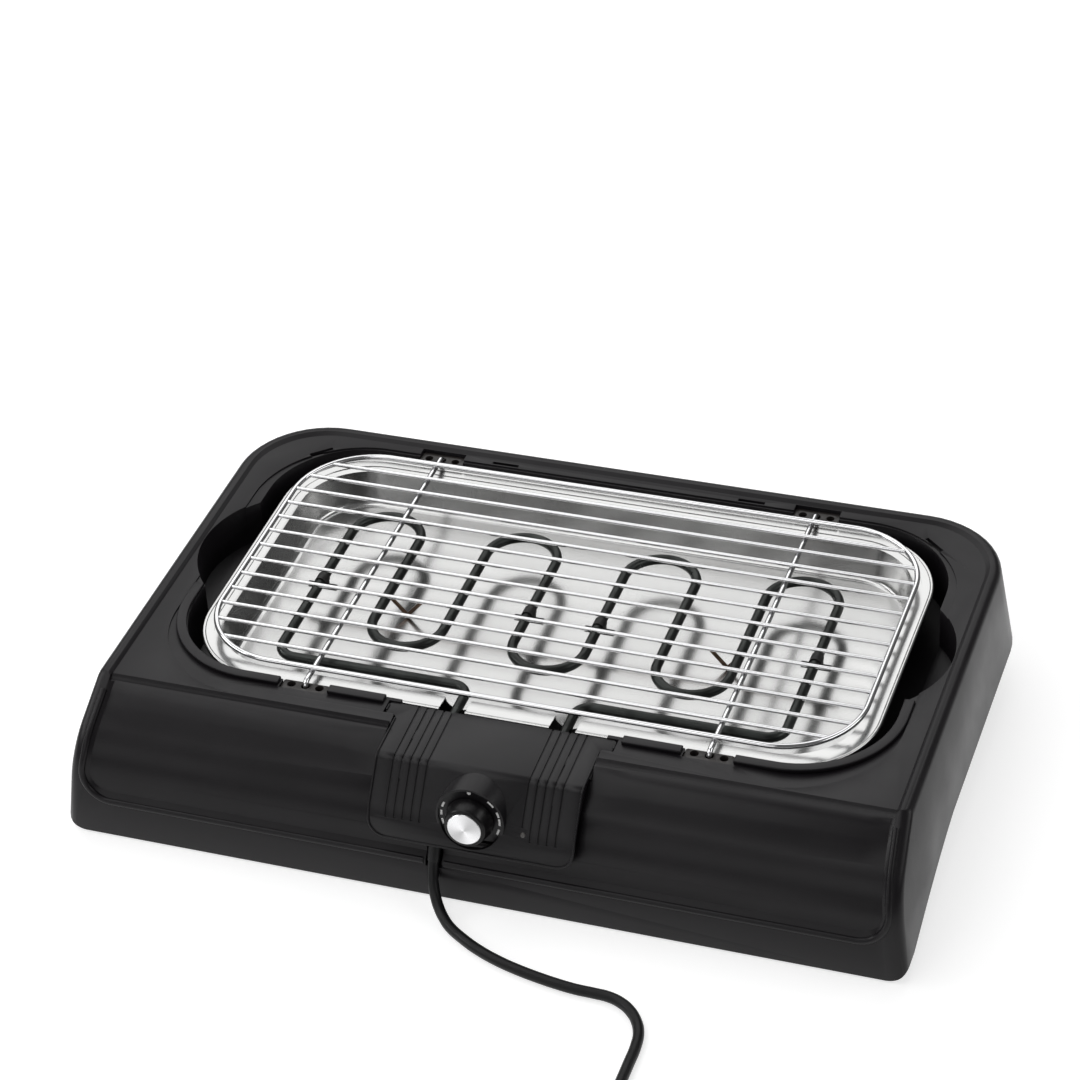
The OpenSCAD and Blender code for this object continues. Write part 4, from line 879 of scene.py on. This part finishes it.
class GRILL_OT_unit(bpy.types.Operator):
    """Round the control unit's cover and shell and dress what they hold"""
    bl_idname = "grill.unit"
    bl_label = "Control unit"

    def execute(self, context):
        finished_copy("control_cover", sizes().fine_round)
        cover_bead()
        finished_copy("control_back_shell", sizes().fine_round)
        finished_copy("strain_relief", sizes().fine_round)
        for node in ("cover_screws", "thermostat", "terminal_block", "internal_leads",
                     "indicator_lens", "indicator_lamp", "safety_switch", "switch_plunger",
                     "cord_clamp", "clamp_screws", "thermostat_shaft"):
            dress_node(node)
        return {"FINISHED"}


class GRILL_OT_knob(bpy.types.Operator):
    """Give the knob its plastic and its turned metal cap"""
    bl_idname = "grill.knob"
    bl_label = "Knob"

    def execute(self, context):
        finished_copy("knob", smooth=40)
        finished_copy("knob_cap", smooth=30)
        return {"FINISHED"}


# Marks on the dial, in degrees clockwise from the top: where each dash starts and ends
LEFT_DASHES = ((-103, -91), (-84, -73), (-64, -52))
RIGHT_DASHES = ((51, 66), (75, 87), (93, 108), (115, 128))
DASH_STEPS = 8                 # of a dash's arc
MARK_THICKNESS = 0.08 * MM
DOT_ANGLE = -1                 # degrees clockwise from the top
DOT_RADIUS = 1.2 * MM
DOT_SIDES = 24


def on_dial(angle, radius):
    """Point on the dial's face at an angle clockwise from its top."""
    turn = math.radians(angle)
    across = Vector((1, 0, 0)) * math.sin(turn) + DIAL_UP * math.cos(turn)
    return DIAL_CENTRE + across * radius


def dial_turned(angle):
    """Turn that lays a flat primitive on the dial, its Y outwards at an angle from the top."""
    out = (on_dial(angle, 1) - DIAL_CENTRE).normalized()
    side = out.cross(DIAL_OUT)
    return Matrix((side, out, DIAL_OUT)).transposed().to_euler()


def dial_dash(start, end):
    """Arc-shaped dash: one short edge across the ring, spun about the dial's axis."""
    bpy.ops.object.select_all(action="DESELECT")
    bpy.ops.mesh.primitive_plane_add(
        size=sizes().mark_width, location=on_dial(start, sizes().mark_radius),
        rotation=dial_turned(start))
    dash = bpy.context.object
    settled(dash)
    bpy.ops.object.mode_set(mode="EDIT")
    mesh = bmesh.from_edit_mesh(dash.data)
    along = (on_dial(start + 1, 1) - on_dial(start, 1)).normalized()
    back = sorted(mesh.verts, key=lambda v: v.co.dot(along))[:2]
    bmesh.ops.delete(mesh, geom=back, context="VERTS")
    bmesh.update_edit_mesh(dash.data)
    bpy.ops.mesh.select_all(action="SELECT")
    bpy.ops.mesh.spin(steps=DASH_STEPS, angle=math.radians(end - start), center=DIAL_CENTRE,
                      axis=-DIAL_OUT)
    bpy.ops.object.mode_set(mode="OBJECT")
    face_out(dash)
    return dash


class GRILL_OT_marks(bpy.types.Operator):
    """Print the dot and the dashes round the dial"""
    bl_idname = "grill.marks"
    bl_label = "Dial marks"

    def execute(self, context):
        marks = [dial_dash(start, end) for start, end in LEFT_DASHES + RIGHT_DASHES]
        bpy.ops.object.select_all(action="DESELECT")
        bpy.ops.mesh.primitive_circle_add(
            vertices=DOT_SIDES, radius=DOT_RADIUS, fill_type="NGON",
            location=on_dial(DOT_ANGLE, sizes().mark_radius), rotation=dial_turned(0))
        marks.append(bpy.context.object)
        piece = joined(marks, "dial_marks")
        settled(piece)
        apply_modifier(piece, "SOLIDIFY", thickness=MARK_THICKNESS, offset=0)
        face_out(piece)
        dress(piece, mark_print())
        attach(piece, "heater_unit")
        return {"FINISHED"}


# ------------------------------ grille
class GRILL_OT_grille(bpy.types.Operator):
    """Give the wire grille its plating"""
    bl_idname = "grill.grille"
    bl_label = "Grille"

    def execute(self, context):
        for node in ("grille_frame", "grille_bars", "cross_wire_left", "cross_wire_right"):
            finished_copy(node, smooth=40)
        return {"FINISHED"}


# ------------------------------ mains cord
RELIEF_TIP = Vector((-24, -168.343, 27.555)) * MM
FIRST_DROP = Vector((0, -0.9, -1.8)) * MM  # of the cord as it leaves the strain relief
CORD_FRONT = RELIEF_TIP.y - 0.243 * MM
LAY = 3.4                      # height of the cord's middle where it lies, in mm
# The cord's middle from the strain relief to the coil, in mm, with y from CORD_FRONT
CORD_LAY = (
    (-23.4, -4.2, 19.6), (-21.7, -8.4, 14.1), (-18.8, -13.2, 9.6), (-15, -18.2, 6.2),
    (-10.4, -23.2, 4.1), (-5.3, -28.1, LAY), (6.5, -36.3, LAY), (18, -42.6, LAY),
    (31.6, -48.2, LAY), (45.6, -52.4, LAY), (59.9, -55.6, LAY), (72, -57.7, LAY),
    (84, -59.1, LAY), (95, -59.4, LAY), (104.6, -60, LAY), (113, -62.8, LAY),
    (120.4, -68, LAY), (126.4, -75.4, LAY), (130.2, -83.8, LAY), (131.8, -94, LAY),
    (132, -110, LAY), (132, -128, LAY), (132, -146, LAY), (132, -166, LAY))

COIL_X = 175.4 * MM
COIL_Y = CORD_FRONT - 188 * MM
BOOT_X = 209 * MM
PLUG_Z = 18.2 * MM
COIL_STEP = 15                 # degrees from one point of a turn to the next
# Where the cord changes its place in the coil: angle from, angle to, column and layer after it.
# Columns are counted outwards from the middle of the turns, layers from the table.
COIL_MOVES = ((460, 540, -0.5, 0), (740, 830, -0.5, 1), (1020, 1110, 0.5, 1), (1300, 1390, 0.5, 2))
COIL_START, COIL_END = 180, 1710  # degrees, where the coil's first turn starts and its last ends
COIL_COLUMNS, COIL_LAYERS = 2, 3
TAIL_LAY = ((-18, -1), (-8, -0.2), (0, 0))  # end of the cord, as x and z in mm from the boot
TIE_ROOM = (1.0 * MM, 0.4 * MM)  # by which the strap is wider and higher than the coil's section
TIE_LIFT = 0.09 * MM           # of the strap above the table
TIE_SKIN = 0.9 * MM            # thickness of the strap
TIE_CORNER = 2.6 * MM          # rounding of the strap's corners
TIE_ROUND = 0.2 * MM           # rounding of its edges
ALONG_Y = 0.9                  # a direction with more than this share in y runs along Y


def eased(t):
    """Smooth step from 0 to 1."""
    t = min(max(t, 0), 1)
    return t * t * (3 - 2 * t)


def coil_point(angle):
    """The cord's middle at an angle of the coil, counted on through its turns."""
    column, layer = 0.5, 0
    for start, end, to_column, to_layer in COIL_MOVES:
        share = eased((angle - start) / (end - start))
        column += (to_column - column) * share
        layer += (to_layer - layer) * share
    diameter = sizes().cord_diameter
    radius = sizes().coil_radius + column * diameter
    turn = math.radians(angle)
    return Vector((COIL_X + radius * math.cos(turn), COIL_Y + radius * math.sin(turn),
                   (layer + 0.5) * diameter))


def cord_points():
    """The cord's middle from the strain relief through the coil to the plug's boot."""
    points = [RELIEF_TIP, RELIEF_TIP + FIRST_DROP]
    points += [Vector((x * MM, CORD_FRONT + y * MM, z * MM)) for x, y, z in CORD_LAY]
    points += [coil_point(a) for a in range(COIL_START, COIL_END + 1, COIL_STEP)]
    tail_y = points[-1].y
    points += [Vector((BOOT_X + x * MM, tail_y, PLUG_Z + z * MM)) for x, z in TAIL_LAY]
    return points


def curve_through(name, points, diameter):
    """Round, smooth cord through points."""
    data = round_curve(name, diameter / 2, 5)
    data.resolution_u = 5
    spline = data.splines.new("BEZIER")
    spline.bezier_points.add(len(points) - 1)
    for point, co in zip(spline.bezier_points, points):
        point.co = co
        point.handle_left_type = point.handle_right_type = "AUTO"
    return new_object(name, data)


def coil_tie():
    """Strap round the coil's section where it lies farthest from the housing's middle."""
    diameter = sizes().cord_diameter
    width = COIL_COLUMNS * diameter + TIE_ROOM[0]
    height = COIL_LAYERS * diameter + TIE_ROOM[1]
    middle = Vector((COIL_X + sizes().coil_radius, COIL_Y, height / 2 + TIE_LIFT))
    bpy.ops.object.select_all(action="DESELECT")
    bpy.ops.mesh.primitive_cube_add(size=1, location=middle)
    tie = bpy.context.object
    tie.name = "cord_tie"
    tie.dimensions = (width, sizes().tie_width, height)
    settled(tie)
    bpy.ops.object.mode_set(mode="EDIT")
    mesh = bmesh.from_edit_mesh(tie.data)
    ends = [f for f in mesh.faces if abs(f.normal.y) > ALONG_Y]
    bmesh.ops.delete(mesh, geom=ends, context="FACES_ONLY")
    for edge in mesh.edges:
        run = edge.verts[1].co - edge.verts[0].co
        edge.select = abs(run.y) > ALONG_Y * run.length
    bmesh.update_edit_mesh(tie.data)
    bpy.ops.mesh.bevel(offset=TIE_CORNER, segments=5)
    bpy.ops.object.mode_set(mode="OBJECT")
    apply_modifier(tie, "SOLIDIFY", thickness=TIE_SKIN, offset=-1)
    apply_modifier(tie, "BEVEL", width=TIE_ROUND, segments=2, limit_method="ANGLE")
    only(tie)
    bpy.ops.object.shade_smooth_by_angle(angle=math.radians(35))
    dress(tie, finish_for("cord"))
    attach(tie, "heater_unit")
    return tie


PLUG_NODES = ("plug_body", "plug_pins", "plug_earth_clips")


class GRILL_OT_cord(bpy.types.Operator):
    """Lay the mains cord, wind its spare length into a coil and tie it"""
    bl_idname = "grill.cord"
    bl_label = "Mains cord"

    def execute(self, context):
        points = cord_points()
        diameter = sizes().cord_diameter
        cord = curve_through("mains_cord", points, diameter)
        dress(cord, finish_for("cord"))
        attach(cord, "heater_unit")
        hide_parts("power_cord", "cord_coil", "cord_tail")
        for node in PLUG_NODES:
            dress_node(node)
        coil_tie()
        return {"FINISHED"}


# ------------------------------ stage
CAMERA_PLACE = Vector((0.5981, -1.61039, 1.4100))
CAMERA_RIGHT = Vector((0.94745, 0.31590, -0.05048))
CAMERA_UP = Vector((-0.14851, 0.57408, 0.80522))
CAMERA_BACK = Vector((0.28335, -0.75541, 0.59083))
LENS_MM = 115.30
SENSOR_MM = 36
VIEW_END = 20                  # m
ROOM_LIGHT = 0.15              # strength of the even light round the stage
FLOOR_SIZE = 8                 # m
FLOOR_GLOW = 0.66              # strength of the glow that keeps the table top white
# Soft lamps that look at LAMP_AIM: name, place, width and height in m, and watts
LAMP_AIM = Vector((0, 0, 0.05))
LAMPS = (
    ("overhead", (-0.56, 1.20, 1.55), 2.4, 2.0, 22),
    ("front overhead", (-0.55, -0.50, 1.50), 1.5, 0.8, 6.5),
    ("key", (1.70, 0.15, 1.25), 1.8, 0.7, 8.5),
    ("left fill", (-1.7, -0.4, 1.0), 1.4, 0.5, 9),
    ("front fill", (-0.5, -1.7, 0.8), 1.6, 0.8, 4.5),
)


def add_camera():
    data = bpy.data.cameras.new("camera")
    data.lens = LENS_MM
    data.sensor_width = SENSOR_MM
    data.sensor_fit = "HORIZONTAL"
    data.clip_end = VIEW_END
    camera = new_object("camera", data)
    turn = Matrix((CAMERA_RIGHT, CAMERA_UP, CAMERA_BACK)).transposed()
    camera.matrix_world = Matrix.Translation(CAMERA_PLACE) @ turn.to_4x4()
    bpy.context.scene.camera = camera


def add_softbox(name, place, width, height, watts):
    data = bpy.data.lights.new(name, "AREA")
    data.shape = "RECTANGLE"
    data.size, data.size_y = width, height
    data.energy = watts
    light = new_object(name, data)
    light.location = place
    light.rotation_euler = (Vector(place) - LAMP_AIM).to_track_quat("Z", "Y").to_euler()


def add_world():
    """Dim, even room light round the stage."""
    world = bpy.data.worlds.new("studio")
    bpy.context.scene.world = world
    world.use_nodes = True
    room = world.node_tree.nodes["Background"]
    room.inputs["Color"].default_value = (1, 1, 1, 1)
    room.inputs["Strength"].default_value = ROOM_LIGHT


def seen_directly(tree):
    """1 for what the camera, a reflection or glass sees, 0 for light on surfaces."""
    path = tree.nodes.new("ShaderNodeLightPath")
    seen = path.outputs["Is Camera Ray"]
    for ray in ("Is Glossy Ray", "Is Transmission Ray"):
        either = tree.nodes.new("ShaderNodeMath")
        either.operation = "MAXIMUM"
        tree.links.new(seen, either.inputs[0])
        tree.links.new(path.outputs[ray], either.inputs[1])
        seen = either.outputs[0]
    return seen


def floor_material():
    """White table top that keeps the soft shadow under the housing."""
    made = Finish("table top", (0.55, 0.55, 0.55), 0.5)
    made.vary_colour(made.noise(3, 2), (0.54, 0.54, 0.54), (0.56, 0.56, 0.56))
    glow = made.node("ShaderNodeEmission")
    glow.inputs["Color"].default_value = (1, 1, 1, 1)
    strength = made.node("ShaderNodeMath", operation="MULTIPLY")
    strength.inputs[1].default_value = FLOOR_GLOW
    made.link(seen_directly(made.tree), strength.inputs[0])
    made.link(strength.outputs[0], glow.inputs["Strength"])
    both = made.node("ShaderNodeAddShader")
    made.link(made.shader.outputs[0], both.inputs[0])
    made.link(glow.outputs[0], both.inputs[1])
    made.link(both.outputs[0], made.tree.nodes["Material Output"].inputs["Surface"])
    return made.material


class GRILL_OT_stage(bpy.types.Operator):
    """Set the camera, the soft lights and the white table top"""
    bl_idname = "grill.stage"
    bl_label = "Stage"

    def execute(self, context):
        add_camera()
        add_world()
        for lamp in LAMPS:
            add_softbox(*lamp)
        bpy.ops.object.select_all(action="DESELECT")
        bpy.ops.mesh.primitive_plane_add(size=FLOOR_SIZE, location=(0, 0, 0))
        floor = bpy.context.object
        floor.name = "table_top"
        settled(floor)
        dress(floor, floor_material())
        context.scene.view_settings.view_transform = "Standard"
        return {"FINISHED"}


# ------------------------------ panel and registration
STEPS = (GRILL_OT_stage, GRILL_OT_cord, GRILL_OT_housing, GRILL_OT_rim, GRILL_OT_lip,
         GRILL_OT_rests, GRILL_OT_tray, GRILL_OT_heater, GRILL_OT_unit, GRILL_OT_knob,
         GRILL_OT_marks, GRILL_OT_grille)


class GRILL_PT_panel(bpy.types.Panel):
    """Lists the sizes, the colours and the steps in order"""
    bl_label = "Table barbecue"
    bl_idname = "GRILL_PT_panel"
    bl_space_type = "VIEW_3D"
    bl_region_type = "UI"
    bl_category = "Barbecue"

    def draw(self, context):
        column = self.layout.column(align=True)
        for group in (context.scene.grill_sizes, context.scene.grill_colours):
            for name in group.__annotations__:
                column.prop(group, name)
            column.separator()
        for step in STEPS:
            column.operator(step.bl_idname)


CLASSES = (GrillSizes, GrillColours, *STEPS, GRILL_PT_panel)


def register():
    for cls in CLASSES:
        bpy.utils.register_class(cls)
    bpy.types.Scene.grill_sizes = bpy.props.PointerProperty(type=GrillSizes)
    bpy.types.Scene.grill_colours = bpy.props.PointerProperty(type=GrillColours)


def unregister():
    del bpy.types.Scene.grill_colours
    del bpy.types.Scene.grill_sizes
    for cls in reversed(CLASSES):
        bpy.utils.unregister_class(cls)


def write_sizes():
    """Brings the view layer up to date."""
    bpy.context.view_layer.update()


def main():
    register()
    for step in STEPS:
        category, name = step.bl_idname.split(".")
        getattr(getattr(bpy.ops, category), name)()
    write_sizes()


if __name__ == "__main__":
    main()
